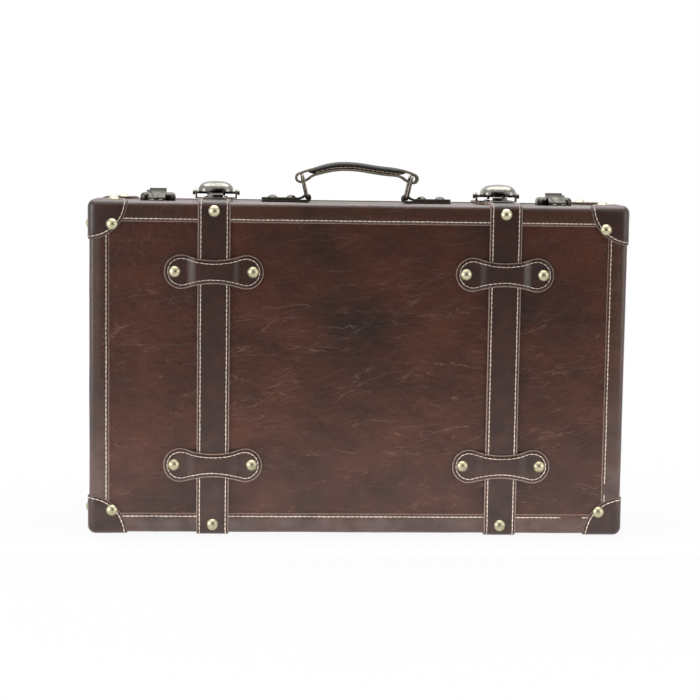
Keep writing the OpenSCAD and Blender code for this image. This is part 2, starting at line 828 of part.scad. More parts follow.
module lid_front_board() { color(wood_c) on_lid() face_board(); }
module lid_top_board() { color(wood_c) on_lid() long_board(lid_rim, 1); }
module lid_bottom_board() { color(wood_c) on_lid() long_board(lid_rim, -1); }
module lid_left_board() { color(wood_c) on_lid() short_board(lid_rim, -1); }
module lid_right_board() { color(wood_c) on_lid() short_board(lid_rim, 1); }
module lid_leather() {
  color(leather_c) difference() {
    on_lid() leather_cover(lid_rim);
    barrel_room();
  }
}
module lid_edge_band() { color(leather_c) on_lid() edge_band(); }
module lid_lining() { color(lining_c) on_lid() lining(lid_rim - lip_out - lip_room); }
module lid_corner_caps() { color(strap_c) on_lid() corner_caps(); }
module lid_strap_left() { color(strap_c) on_lid() strap(lid_rim, -strap_x); }
module lid_strap_right() { color(strap_c) on_lid() strap(lid_rim, strap_x); }
module lid_strap_tabs() { color(strap_c) on_lid() strap_tabs(); }
module lid_nails() { color(nail_c) on_lid() { face_nails(); wall_nails(); } }
module lid_feet() { color(nail_c) on_lid() feet(); }
module lid_hinge_leaves() {
  side = knuckle_l / 2 - loose_fit;
  color(metal_c) for (s = [-1, 1]) at_hinge(s * hinge_x) mirror([0, 1, 0]) hinge_leaf([[-side, side]]);
}
module lid_hinge_rivets() {
  color(metal_c) for (s = [-1, 1]) at_hinge(s * hinge_x) mirror([0, 1, 0]) hinge_rivets();
}
module keeper_left() { color(metal_c) on_top(-strap_x) keeper(); }
module keeper_right() { color(metal_c) on_top(strap_x) keeper(); }
module keeper_rivets() { color(metal_c) both_hands() on_top(strap_x) keeper_rivet_set(); }
module hasp_leaf_left() { color(metal_c) left_hand() on_top(lock_x) hasp_leaf(); }
module hasp_leaf_right() { color(metal_c) on_top(lock_x) hasp_leaf(); }
module hasp_leaf_rivets() { color(metal_c) both_hands() on_top(lock_x) hasp_leaf_rivet_set(); }
module hasp_pins() { color(metal_c) both_hands() on_top(lock_x) hasp_pin(); }

// Nodes that move on their own

module ring_left() { color(ring_c) left_hand() ring(); }
module ring_right() { color(ring_c) ring(); }
module handle_grip() { color(strap_c) grip(); }
module latch_lever_left() { color(metal_c) on_top(-strap_x) latch_lever(); }
module latch_lever_right() { color(metal_c) on_top(strap_x) latch_lever(); }
module hasp_left() { color(metal_c) left_hand() on_top(lock_x) hasp(); }
module hasp_right() { color(metal_c) on_top(lock_x) hasp(); }
module lock_button_left() { color(metal_c) left_hand() on_top(lock_x) lock_button(); }
module lock_button_right() { color(metal_c) on_top(lock_x) lock_button(); }

base_back_board();
base_top_board();
base_bottom_board();
base_left_board();
base_right_board();
base_leather();
base_edge_band();
base_lining();
rim_lip();
base_corner_caps();
base_strap_left();
base_strap_right();
base_strap_tabs();
base_nails();
base_feet();
base_hinge_leaves();
hinge_pins();
base_hinge_rivets();
chape_left();
chape_right();
chape_rivets();
latch_plate_left();
latch_plate_right();
latch_plate_rivets();
latch_pins();
lock_case_left();
lock_case_right();
lid_front_board();
lid_top_board();
lid_bottom_board();
lid_left_board();
lid_right_board();
lid_leather();
lid_edge_band();
lid_lining();
lid_corner_caps();
lid_strap_left();
lid_strap_right();
lid_strap_tabs();
lid_nails();
lid_feet();
lid_hinge_leaves();
lid_hinge_rivets();
keeper_left();
keeper_right();
keeper_rivets();
hasp_leaf_left();
hasp_leaf_right();
hasp_leaf_rivets();
hasp_pins();
ring_left();
ring_right();
handle_grip();
latch_lever_left();
latch_lever_right();
hasp_left();
hasp_right();
lock_button_left();
lock_button_right();
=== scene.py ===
import json
import math
import random

import bmesh
import bpy
from mathutils import Matrix, Vector


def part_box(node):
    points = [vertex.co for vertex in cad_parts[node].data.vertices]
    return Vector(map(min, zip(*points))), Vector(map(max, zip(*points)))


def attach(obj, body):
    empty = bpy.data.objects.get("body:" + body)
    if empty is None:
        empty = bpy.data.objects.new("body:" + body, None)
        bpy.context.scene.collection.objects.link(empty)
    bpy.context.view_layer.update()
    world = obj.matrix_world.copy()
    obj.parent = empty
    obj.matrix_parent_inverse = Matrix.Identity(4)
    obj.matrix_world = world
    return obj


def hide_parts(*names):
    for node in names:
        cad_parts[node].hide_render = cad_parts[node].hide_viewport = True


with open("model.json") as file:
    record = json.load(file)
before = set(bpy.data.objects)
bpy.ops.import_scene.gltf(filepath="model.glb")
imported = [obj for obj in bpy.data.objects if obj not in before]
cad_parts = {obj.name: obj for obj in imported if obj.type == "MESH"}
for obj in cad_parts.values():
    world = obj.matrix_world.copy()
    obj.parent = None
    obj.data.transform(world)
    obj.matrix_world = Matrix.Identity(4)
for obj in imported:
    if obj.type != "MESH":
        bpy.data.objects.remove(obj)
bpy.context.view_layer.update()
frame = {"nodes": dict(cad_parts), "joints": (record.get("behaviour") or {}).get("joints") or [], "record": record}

bl_info = {
    "name": "Vintage suitcase",
    "version": (1, 0, 0),
    "blender": (4, 5, 0),
    "location": "View3D > Sidebar > Suitcase",
    "description": "Leather, stitching, lining and metalwork of a vintage suitcase",
    "category": "Object",
}

# Places read from the frame, in metres. The lid looks along -Y and the base along +Y
MM = 0.001
LID_LOW, LID_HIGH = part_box("lid_leather")
BASE_LOW, BASE_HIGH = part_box("base_leather")
HALF_W = LID_HIGH.x
HALF_H = (LID_HIGH.z - LID_LOW.z) / 2
MID_Z = (LID_HIGH.z + LID_LOW.z) / 2
LOW_Z, TOP_Z = LID_LOW.z, LID_HIGH.z
FACE_Y = BASE_HIGH.y
DEPTHS = {"lid": LID_HIGH.y + FACE_Y, "base": FACE_Y - BASE_LOW.y}
FACINGS = {"lid": Vector((0, -1, 0)), "base": Vector((0, 1, 0))}
STRAP_LOW, STRAP_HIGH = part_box("lid_strap_right")
STRAP_X = (STRAP_LOW.x + STRAP_HIGH.x) / 2
STRAP_STOP = LID_HIGH.y - STRAP_HIGH.y
PIVOTS = {joint["name"]: Vector(joint["pos_m"]) for joint in frame["joints"] if "pos_m" in joint}
SIDES = {"left": -1, "right": 1}
WAYS = (-1, 1)
CORNERS = [(sx, sz) for sx in WAYS for sz in WAYS]
UP = Vector((0, 0, 1))
MERGE = 1e-6
# Share of a direction that counts as lying along an axis
ALONG = 0.9
# Cells into which leather is cut, so that it can swell
CELL = 9 * MM
# Points of a sheet nearer than this are one, before it gets its thickness
CLOSE = 0.6 * MM
# Steps of the rolled edges and corners
ROLL_STEPS = 6
# Seed of the leather's clouds, with a dark patch about the middle of the lid
CLOUD_SEED = 1335.0


def linear(code):
    """Scene colour of an sRGB hex value."""
    parts = [int(code[i:i + 2], 16) / 255 for i in (0, 2, 4)]
    return tuple(c / 12.92 if c <= 0.04045 else ((c + 0.055) / 1.055) ** 2.4 for c in parts)


def length(description, millimetres):
    return bpy.props.FloatProperty(
        description=description, default=millimetres * MM, min=0, precision=5, subtype="DISTANCE",
        unit="LENGTH")


def colour(description, code):
    return bpy.props.FloatVectorProperty(
        description=description, default=linear(code), size=3, min=0, max=1, subtype="COLOR")


class SuitcaseSizes(bpy.types.PropertyGroup):
    """Sizes of the leather and the stitching, which follow the solids of the frame"""

    corner_radius: length("Round of the case's corners, seen from the front", 6)
    edge_radius: length("Roll of the case's face edges", 4.5)
    leather: length("Thickness of the leather cover", 1.2)
    swell: length("Unevenness of leather that is glued over boards", 0.7)
    band_width: length("Width of the edge band on each face", 18)
    band: length("Thickness of the edge band", 0.8)
    patch_radius: length("Reach of a corner patch from its corner", 37.1)
    patch_rise: length("Height of the corner patches over the leather", 2.2)
    strap_width: length("Width of the straps", (STRAP_HIGH.x - STRAP_LOW.x) / MM)
    strap_rise: length("Height of the straps over the leather", 2.6)
    tab_length: length("Length of a strap tab", 91.5)
    tab_lobe: length("Width of a strap tab at its round ends", 31.6)
    tab_waist: length("Width of a strap tab at its middle", 21.8)
    tab: length("Thickness of a strap tab", 1.8)
    tab_slope: length("Run over which a tab climbs its strap", 10)
    tab_height: length("Distance of the tabs from mid height", 89.7)
    tab_nail: length("Distance of a tab's nails from its strap's middle", 36)
    cut_edge: length("Width of the pale cut edge that shows on the leather trim", 1.0)
    nail_width: length("Diameter of the dome nails", 11)
    nail_height: length("Height of the dome nails", 3.2)
    nail_inset: length("Distance of the corner nails from the case's edges", 20.4)
    strap_nail: length("Distance of the strap nails from the upper and lower edges", 7.6)
    stitch: length("Length of one stitch", 4.7)
    stitch_width: length("Thickness of the thread", 1.05)
    stitch_pitch: length("Distance from stitch to stitch", 4.45)
    stitch_inset: length("Distance of the stitching from the cut edges", 3.0)
    grip_width: length("Width of the carrying grip", 19)
    grip_rise: length("Height of the grip's arch over its rings", 9.7)
    loop: length("Thickness of the leather round the rings", 2.2)
    loop_width: length("Width of the leather round the rings", 18)


class SuitcaseColours(bpy.types.PropertyGroup):
    """Colours of the finishes"""

    leather_deep: colour("Dark brown of the panels", "2b1911")
    # Crease colour: rubbed pigment on the folds, and a painted highlight on their ridges
    leather_warm: colour("Red brown that shows in patches", "563023")
    crease_rub_and_highlight: colour("Rubbed lines of the creases", "85604f")
    band_deep: colour("Dark brown of the edge bands", "301d16")
    # Painted sheen: the pale reflection of the white floor on the lower leather
    dust: colour("Pale bloom on the leather near the floor", "9c8b8b")
    band_warm: colour("Lighter brown of the edge bands", "553527")
    trim_deep: colour("Dark brown of straps, tabs and patches", "2d1a14")
    trim_warm: colour("Lighter brown of the trim", "44281f")
    cut_edge: colour("Raw edge of the leather trim", "a38a7d")
    thread: colour("Waxed sewing thread", "f0dccb")
    grip: colour("Olive brown leather of the grip", "201d19")
    liner_edge: colour("Pale cut edge under the grip", "9a927f")
    grip_edge: colour("Burnished edges of the grip and the chapes", "4a4338")
    brass: colour("Pale brass of the nails", "cfc6a6")
    nickel: colour("Plating of the latches", "8d8b84")
    dark_nickel: colour("Tarnished plating of the locks and hinges", "55524c")
    wire: colour("Dull wire of the rings", "7d776c")
    lining: colour("Cotton lining", "a38f74")
    plywood: colour("Sanded plywood", "c4a273")


# Materials

def add(tree, kind, inputs=(), **settings):
    """Adds a shader node with its settings, and links or sets its inputs."""
    node = tree.nodes.new("ShaderNode" + kind)
    for key, value in settings.items():
        setattr(node, key, value)
    for key, value in dict(inputs).items():
        if isinstance(value, bpy.types.NodeSocket):
            tree.links.new(value, node.inputs[key])
        else:
            node.inputs[key].default_value = value
    return node


def blank(name):
    """Empty node tree of a new material, and the object's own coordinates in it."""
    material = bpy.data.materials.new(name)
    material.use_nodes = True
    tree = material.node_tree
    tree.nodes.clear()
    return tree, add(tree, "TexCoord").outputs["Object"]


def show(tree, shader, kind="OutputMaterial"):
    tree.links.new(shader, add(tree, kind).inputs[0])


def shade(tint, share):
    return [c * share for c in tint]


def noise(tree, place, size, detail=2.0, roughness=0.5, seed=None):
    """Noise whose coarsest features have a size in millimetres. Each seed gives another pattern."""
    inputs = {"Vector": place, "Scale": 1 / (size * MM), "Detail": detail, "Roughness": roughness}
    if seed is None:
        return add(tree, "TexNoise", inputs).outputs[0]
    return add(tree, "TexNoise", {**inputs, "W": seed}, noise_dimensions="4D").outputs[0]


def ranged(tree, value, low, high, to_low=0.0, to_high=1.0, kind="LINEAR"):
    """A value carried from one range into another, and held at its ends."""
    inputs = {"Value": value, 1: low, 2: high, 3: to_low, 4: to_high}
    return add(tree, "MapRange", inputs, interpolation_type=kind).outputs[0]


def calc(tree, operation, *values):
    return add(tree, "Math", enumerate(values), operation=operation).outputs[0]


def blend(tree, amount, first, second):
    """Colour between two others, which are plain colours or come from other nodes."""
    pair = [c if isinstance(c, bpy.types.NodeSocket) else (*c, 1.0) for c in (first, second)]
    return add(tree, "Mix", {0: amount, 6: pair[0], 7: pair[1]}, data_type="RGBA").outputs[2]


def surface(tree, paint, roughness, height, strength, depth, **more):
    """Shader of a finish, with a bump whose depth is in millimetres. Further inputs go by their names,
    with underscores for blanks."""
    bump = add(tree, "Bump", {"Height": height, "Strength": strength, "Distance": depth * MM}).outputs[0]
    inputs = {"Base Color": paint, "Roughness": roughness, "Normal": bump}
    inputs.update({key.replace("_", " "): value for key, value in more.items()})
    show(tree, add(tree, "BsdfPrincipled", inputs).outputs[0])


def creased_leather(name, deep, warm, rub_and_highlight, coat, painted_sheen_share):
    """Pigmented cowhide, glazed and crushed: warm clouds in dark brown, broken crease lines, a soft gloss."""
    c = bpy.context.scene.suitcase_colours
    tree, place = blank(name)
    # The creases wander by up to 2 mm
    drift = add(tree, "TexNoise", {"Vector": place, "Scale": 1 / (16 * MM), "Detail": 5.0}).outputs["Color"]
    centred = add(tree, "VectorMath", {0: drift, 1: (0.5, 0.5, 0.5)}, operation="SUBTRACT").outputs[0]
    push = add(tree, "VectorMath", {0: centred, "Scale": 4.5 * MM}, operation="SCALE").outputs[0]
    pushed = add(tree, "VectorMath", {0: place, 1: push}, operation="ADD").outputs[0]
    # Three sets of long folds, each lying its own way and showing only here and there, least near the top
    lines = 0.0
    for turn, cell, longer, seed, amount in (
        (2, 4.5, 8.0, 1.0, 1.0), (-8, 6, 7.0, 4.0, 0.9), (-26, 7, 6.0, 7.0, 0.8),
    ):
        along = add(tree, "Mapping", {
            "Vector": pushed, "Rotation": (0, math.radians(turn), 0), "Scale": (longer, 1, 1),
        }, vector_type="TEXTURE").outputs[0]
        gap = calc(tree, "SUBTRACT", noise(tree, along, cell, detail=1.0, seed=seed), 0.5)
        line = ranged(tree, calc(tree, "ABSOLUTE", gap), 0.0, 0.02, 1.0, 0.0, "SMOOTHSTEP")
        here = ranged(tree, noise(tree, along, 11, roughness=0.6, seed=-seed), 0.53, 0.66, 0.0, amount)
        lines = calc(tree, "MAXIMUM", calc(tree, "MULTIPLY", line, here), lines)
    level = add(tree, "SeparateXYZ", {0: place}).outputs[2]
    fade = ranged(tree, level, MID_Z, TOP_Z - 40 * MM, 1.0, 0.3)
    lines = calc(tree, "MULTIPLY", lines, fade)
    # Warm clouds of about 55 mm with ragged borders, lying a little crosswise
    wide = add(tree, "Mapping", {"Vector": place, "Scale": (0.75, 1, 1)}).outputs[0]
    clouds = noise(tree, wide, 55, detail=6.0, roughness=0.6, seed=CLOUD_SEED)
    body = blend(tree, ranged(tree, clouds, 0.34, 0.7), deep, warm)
    # The crease lines are painted paler: partly rubbed pigment, partly a painted highlight on the fold ridges
    creased = blend(tree, calc(tree, "MULTIPLY", lines, rub_and_highlight), body, c.crease_rub_and_highlight)
    # Painted sheen: a pale reflection of the white floor, in patches, stronger nearer the floor
    painted_sheen_low = ranged(tree, level, MID_Z, 0.0, 0.0, painted_sheen_share)
    uneven = ranged(tree, noise(tree, place, 14, detail=4.0), 0.35, 0.65, 0.4, 1.6)
    paint = blend(tree, calc(tree, "MULTIPLY", painted_sheen_low, uneven), creased, c.dust)
    # Height: folds that stand up, slow waves of 8 mm and a pore grain of 1.2 mm
    waves = noise(tree, pushed, 8, detail=4.0, roughness=0.55)
    low = calc(tree, "MULTIPLY_ADD", noise(tree, place, 1.2), 0.14, waves)
    height = calc(tree, "MULTIPLY_ADD", lines, 0.55, low)
    polish = ranged(tree, clouds, 0.3, 0.7, 0.42, 0.32)
    surface(tree, paint, polish, height, strength=0.8, depth=1.0, IOR=1.5, Specular_IOR_Level=0.4,
            Coat_Weight=coat, Coat_Roughness=0.3 - 0.1 * coat)


def smooth_leather(name, deep, warm, roughness, coat):
    """Bridle leather, dyed and waxed: an even dark brown with a fine pore grain and a waxy sheen."""
    tree, place = blank(name)
    clouds = noise(tree, place, 16, detail=6.0, roughness=0.6)
    paint = blend(tree, ranged(tree, clouds, 0.38, 0.7), deep, warm)
    # Pores of 1.3 mm, coarser than life so that they show
    pores = add(tree, "TexVoronoi", {"Vector": place, "Scale": 1 / (1.3 * MM)}).outputs["Distance"]
    height = calc(tree, "MULTIPLY_ADD", pores, 0.25, noise(tree, place, 6, detail=3.0))
    polish = ranged(tree, clouds, 0.3, 0.7, roughness + 0.05, roughness - 0.07)
    surface(tree, paint, polish, height, strength=0.4, depth=0.5, IOR=1.5, Coat_Weight=coat,
            Coat_Roughness=0.3)


def raw_edge(name, tint):
    """Cut leather, unsealed: pale, fibrous and matt."""
    tree, place = blank(name)
    fibres = noise(tree, place, 2.5, detail=4.0)
    paint = blend(tree, ranged(tree, fibres, 0.35, 0.7), shade(tint, 0.6), tint)
    surface(tree, paint, 0.8, fibres, strength=0.5, depth=0.3, IOR=1.5)


def waxed_thread(name, tint):
    """Twisted linen thread, waxed: pale, a little soiled from stitch to stitch, with a dull sheen."""
    tree, place = blank(name)
    soil = noise(tree, place, 14, detail=4.0)
    paint = blend(tree, ranged(tree, soil, 0.35, 0.65), shade(tint, 0.7), tint)
    # The twist of 0.7 mm only just shows
    twist = noise(tree, place, 0.7)
    surface(tree, paint, 0.65, twist, strength=0.4, depth=0.2, IOR=1.5, Sheen_Weight=0.2)


def handled_metal(name, tint, tarnish, low, high):
    """Pressed and plated metal after years of handling: bright, with cloudy tarnish and soft scratches."""
    tree, place = blank(name)
    clouds = noise(tree, place, 5, detail=5.0)
    paint = blend(tree, ranged(tree, clouds, 0.45, 0.72), tint, shade(tint, tarnish))
    haze = ranged(tree, clouds, 0.35, 0.7, low, high)
    scratches = noise(tree, place, 1.8, detail=3.0)
    surface(tree, paint, haze, scratches, strength=0.12, depth=0.15, Metallic=1.0)


def woven_cotton(name, tint):
    """Plain-weave cotton glued to the boards: beige, matt, with crossing threads and faint stains."""
    tree, place = blank(name)
    # Threads of 1.6 mm, twice as coarse as life so that they show. A wave texture of scale 1 has 314 mm waves
    scale = 0.31416 / (1.6 * MM)
    warp, weft = [add(tree, "TexWave", {"Vector": place, "Scale": scale}, bands_direction=way).outputs[1]
                  for way in ("X", "Z")]
    weave = calc(tree, "MULTIPLY", warp, weft)
    stains = noise(tree, place, 60, detail=5.0)
    cloth = blend(tree, ranged(tree, stains, 0.35, 0.7), tint, shade(tint, 0.72))
    paint = blend(tree, weave, shade(tint, 0.55), cloth)
    surface(tree, paint, 0.85, weave, strength=0.5, depth=0.3, IOR=1.5, Sheen_Weight=0.15)


def sanded_plywood(name, tint):
    """Birch plywood, sanded: pale, with long grain streaks."""
    tree, place = blank(name)
    stretch = add(tree, "Mapping", {"Vector": place, "Scale": (0.06, 1.0, 1.0)}).outputs[0]
    grain = noise(tree, stretch, 1.5, detail=4.0)
    paint = blend(tree, ranged(tree, grain, 0.3, 0.7), shade(tint, 0.6), tint)
    surface(tree, paint, 0.6, grain, strength=0.2, depth=0.2, IOR=1.5)


def finish_named(name):
    """The named finish, made when it is first asked for."""
    c = bpy.context.scene.suitcase_colours
    if name not in bpy.data.materials:
        make, *looks = {
            # For the cowhides: maker, deep and warm browns, share of the paler crease paint (rubbed pigment and
            # painted highlight), coat, share of the painted floor sheen
            "glazed_cowhide": (creased_leather, c.leather_deep, c.leather_warm, 0.42, 0.1, 0.02),
            "glazed_cowhide_band": (creased_leather, c.band_deep, c.band_warm, 0.12, 0.6, 0.11),
            "waxed_bridle_leather": (smooth_leather, c.trim_deep, c.trim_warm, 0.38, 0.3),
            "grip_leather": (smooth_leather, c.grip, shade(c.grip, 2), 0.55, 0.0),
            "raw_leather_edge": (raw_edge, c.cut_edge),
            "waxed_leather_edge": (raw_edge, shade(c.cut_edge, 0.5)),
            "olive_leather_edge": (raw_edge, c.liner_edge),
            "burnished_leather_edge": (raw_edge, c.grip_edge),
            "waxed_linen_thread": (waxed_thread, c.thread),
            "pale_brass": (handled_metal, c.brass, 0.6, 0.27, 0.42),
            "worn_nickel_plate": (handled_metal, c.nickel, 0.55, 0.14, 0.3),
            "tarnished_nickel_plate": (handled_metal, c.dark_nickel, 0.5, 0.24, 0.4),
            "dull_steel_wire": (handled_metal, c.wire, 0.55, 0.24, 0.42),
            "woven_cotton": (woven_cotton, c.lining),
            "sanded_plywood": (sanded_plywood, c.plywood),
        }[name]
        make(name, *looks)
    return bpy.data.materials[name]


# Modelling helpers

def take(obj):
    """Makes one object the only one selected, and active."""
    bpy.ops.object.select_all(action="DESELECT")
    obj.select_set(True)
    bpy.context.view_layer.objects.active = obj


def editing(obj):
    take(obj)
    bpy.ops.object.mode_set(mode="EDIT")


def done():
    bpy.ops.object.mode_set(mode="OBJECT")


def named(obj, name):
    obj.name = name
    obj.data.name = name
    return obj


def settle(obj, name):
    """Puts an object's place, turn and scale into its mesh, and names it."""
    take(obj)
    bpy.ops.object.transform_apply(location=True, rotation=True, scale=True)
    return named(obj, name)


def fresh(name, shape, scale=(1, 1, 1), **settings):
    """Adds a shape by its operator, with nothing else selected, and settles it."""
    bpy.ops.object.select_all(action="DESELECT")
    shape(**settings)
    bpy.context.object.scale = scale
    return settle(bpy.context.object, name)


def block(name, low, high):
    """Cube drawn out between two corners."""
    low, high = Vector(low), Vector(high)
    return fresh(name, bpy.ops.mesh.primitive_cube_add, high - low, size=1, location=(low + high) / 2)


def direction(edge):
    return (edge.verts[1].co - edge.verts[0].co).normalized()


def centre(edge):
    return (edge.verts[0].co + edge.verts[1].co) / 2


def everything():
    bpy.ops.mesh.select_all(action="SELECT")


def pick(obj, kind, test):
    """In edit mode, selects the points, edges or faces that pass a test."""
    bpy.ops.mesh.select_mode(type=kind)
    bpy.ops.mesh.select_all(action="DESELECT")
    shape = bmesh.from_edit_mesh(obj.data)
    shape.normal_update()
    items = {"VERT": shape.verts, "EDGE": shape.edges, "FACE": shape.faces}[kind]
    found = [item for item in items if test(item)]
    if not found:
        raise RuntimeError(f"{obj.name}: nothing to select")
    for item in found:
        item.select_set(True)
    shape.select_flush_mode()
    bmesh.update_edit_mesh(obj.data)


# The next ones work in edit mode, on what passes a test or on the whole mesh

def drop_faces(obj, test):
    pick(obj, "FACE", test)
    bpy.ops.mesh.delete(type="FACE")


def round_edges(obj, radius, steps, test, **settings):
    pick(obj, "EDGE", test)
    bpy.ops.mesh.bevel(offset=radius, segments=steps, affect="EDGES", **settings)


def shift(obj, by, test):
    pick(obj, "VERT", test)
    bpy.ops.transform.translate(value=by)


def stretch(obj, by, about, test):
    pick(obj, "VERT", test)
    bpy.ops.transform.resize(value=by, center_override=about)


def weld(distance=MERGE):
    everything()
    bpy.ops.mesh.remove_doubles(threshold=distance)


def turn_normals_out():
    everything()
    bpy.ops.mesh.normals_make_consistent(inside=False)


def cut(point, normal, **settings):
    everything()
    bpy.ops.mesh.bisect(plane_co=point, plane_no=normal, threshold=MERGE, **settings)


def slice_across(axis, places):
    normal = Vector()
    normal[axis] = 1
    for place in places:
        cut(normal * place, normal)


def cut_frame(wide, high):
    """Cuts along a rectangle about the middle of the case's face."""
    slice_across(0, [-wide, wide])
    slice_across(2, [MID_Z - high, MID_Z + high])


def cut_cells(margin):
    """Cuts the case's face into cells, up to a margin from its edges."""
    slice_across(0, steps_between(-HALF_W + margin, HALF_W - margin, CELL))
    slice_across(2, steps_between(LOW_Z + margin, TOP_Z - margin, CELL))


def steps_between(low, high, step):
    count = max(1, round((high - low) / step))
    return [low + (high - low) * i / count for i in range(count + 1)]


def use_modifier(obj, kind, **settings):
    """Adds a modifier and applies it."""
    take(obj)
    modifier = obj.modifiers.new(kind.lower(), kind)
    for key, value in settings.items():
        setattr(modifier, key, value)
    bpy.ops.object.modifier_apply(modifier=modifier.name)


def smooth(obj, degrees):
    take(obj)
    bpy.ops.object.shade_smooth_by_angle(angle=math.radians(degrees))


def soften(obj, width, sharp, degrees):
    """Breaks an object's sharp edges, and shades the rest smooth."""
    use_modifier(obj, "BEVEL", width=width, segments=2, limit_method="ANGLE", angle_limit=math.radians(sharp))
    smooth(obj, degrees)


def swell(obj):
    """Unevenness that cover and trim share, because the trim lies on the cover."""
    texture = bpy.data.textures.get("glued_leather")
    if texture is None:
        texture = bpy.data.textures.new("glued_leather", "CLOUDS")
        texture.noise_scale = 50 * MM
        texture.noise_depth = 2
    amount = bpy.context.scene.suitcase_sizes.swell
    use_modifier(obj, "DISPLACE", texture=texture, texture_coords="LOCAL", strength=amount, mid_level=0.5)


def face_out(obj, at, out):
    """Turns an open sheet so that its face nearest to a place looks outwards."""
    face = min(obj.data.polygons, key=lambda f: (f.center - at).length)
    if face.normal.dot(out) < 0:
        editing(obj)
        everything()
        bpy.ops.mesh.flip_normals()
        done()


def mirror(obj, axis, about=(0, 0, 0)):
    """Mirrors a mesh across one axis."""
    value = [1, 1, 1]
    value[axis] = -1
    editing(obj)
    everything()
    bpy.ops.transform.resize(value=value, center_override=about)
    turn_normals_out()
    done()


def on_half(obj, half, x, z):
    """Brings a sheet made in the lid's place to its half, with its outer side out at a place of the face."""
    if half == "base":
        mirror(obj, 1)
    face_out(obj, Vector((x, FACINGS[half].y * FACE_Y, z)), FACINGS[half])


def placed(name, data):
    obj = bpy.data.objects.new(name, data)
    bpy.context.scene.collection.objects.link(obj)
    return obj


def copy_of(obj, name):
    return named(placed(name, obj.data.copy()), name)


def left_twin(obj, name, at, out):
    """Turns a sheet of the right side out, and makes its mirrored twin."""
    face_out(obj, at, out)
    twin = copy_of(obj, name)
    mirror(twin, 0)
    face_out(twin, at * Vector((-1, 1, 1)), out)
    return twin


def joined(parts, name):
    take(parts[0])
    for part in parts[1:]:
        part.select_set(True)
    if len(parts) > 1:
        bpy.ops.object.join()
    return named(parts[0], name)


def scrap(obj):
    bpy.data.objects.remove(obj, do_unlink=True)


def give(obj, *looks):
    obj.data.materials.clear()
    for look in looks:
        obj.data.materials.append(finish_named(look))


def leather_sheet(obj, looks, thickness, rim, close=CLOSE):
    """Gives a sheet its thickness inwards, and its outer rim the pale chamfer of a cut edge."""
    give(obj, *looks)
    editing(obj)
    weld(close)
    done()
    use_modifier(obj, "SOLIDIFY", thickness=thickness, offset=-1, use_even_offset=True, material_offset_rim=1)
    editing(obj)
    round_edges(obj, rim, 2, lambda e: {f.material_index for f in e.link_faces} == {0, 1},
                clamp_overlap=False, material=1)
    done()
    smooth(obj, 40)


def mount(obj, body, slot, *nodes):
    """Lets a finished piece ride on its body, in place of its CAD nodes."""
    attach(obj, body)
    if nodes:
        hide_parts(*nodes)


def dress(obj, half, looks, thickness, rim, slot, node, close=CLOSE):
    """Finishes a sheet of leather that is glued to one half of the case."""
    swell(obj)
    leather_sheet(obj, looks, thickness, rim, close)
    mount(obj, half, slot, node)


def half_block(name, out, depth, s, frame_width=0.0):
    """Block of one half, in the lid's place: open at the rim, round corners, rolled face edge.
    With a frame width, its face is cut away inside that width."""
    front = -FACE_Y - out
    shell = block(name, (-HALF_W - out, front, LOW_Z - out), (HALF_W + out, depth - FACE_Y, TOP_Z + out))
    editing(shell)
    drop_faces(shell, lambda f: f.normal.y > ALONG)
    round_edges(shell, s.corner_radius + out, ROLL_STEPS, lambda e: abs(direction(e).y) > ALONG)
    round_edges(shell, s.edge_radius + out, ROLL_STEPS,
                lambda e: all(abs(v.co.y - front) < MERGE for v in e.verts)
                and any(abs(f.normal.y) < 0.5 for f in e.link_faces))
    if frame_width:
        wide, high = HALF_W - frame_width, HALF_H - frame_width
        cut_frame(wide, high)
        drop_faces(shell, lambda f: f.normal.y < -ALONG and abs(f.calc_center_median().x) < wide
                   and abs(f.calc_center_median().z - MID_Z) < high)
    done()
    return shell


def ribbon(name, low, high, lead, moves):
    """Strip of leather: a plane whose leading edge is drawn on by straight moves and spun turns."""
    low, high, lead = Vector(low), Vector(high), Vector(lead)
    strip = fresh(name, bpy.ops.mesh.primitive_plane_add, (high.x - low.x, high.y - low.y, 1), size=1,
                  location=(low + high) / 2)
    editing(strip)
    pick(strip, "EDGE", lambda e: (centre(e) - lead).length < 0.05 * MM)
    for move in moves:
        if move[0] == "go":
            bpy.ops.mesh.extrude_region_move(TRANSFORM_OT_translate={"value": move[1]})
        else:
            _, middle, axis, angle, count = move
            # Spin turns against the right-hand rule
            bpy.ops.mesh.spin(steps=count, angle=-angle, center=middle, axis=axis)
    weld()
    bpy.ops.mesh.normals_make_consistent(inside=False)
    done()
    return strip


def spaced(points, step, closed=False):
    """Points along a line through the given ones, no further apart than a step."""
    out = []
    ends = list(points) + ([points[0]] if closed else [])
    for a, b in zip(ends, ends[1:]):
        count = max(1, math.ceil((b - a).length / step))
        out.extend(a.lerp(b, i / count) for i in range(count))
    return out if closed else out + [ends[-1]]


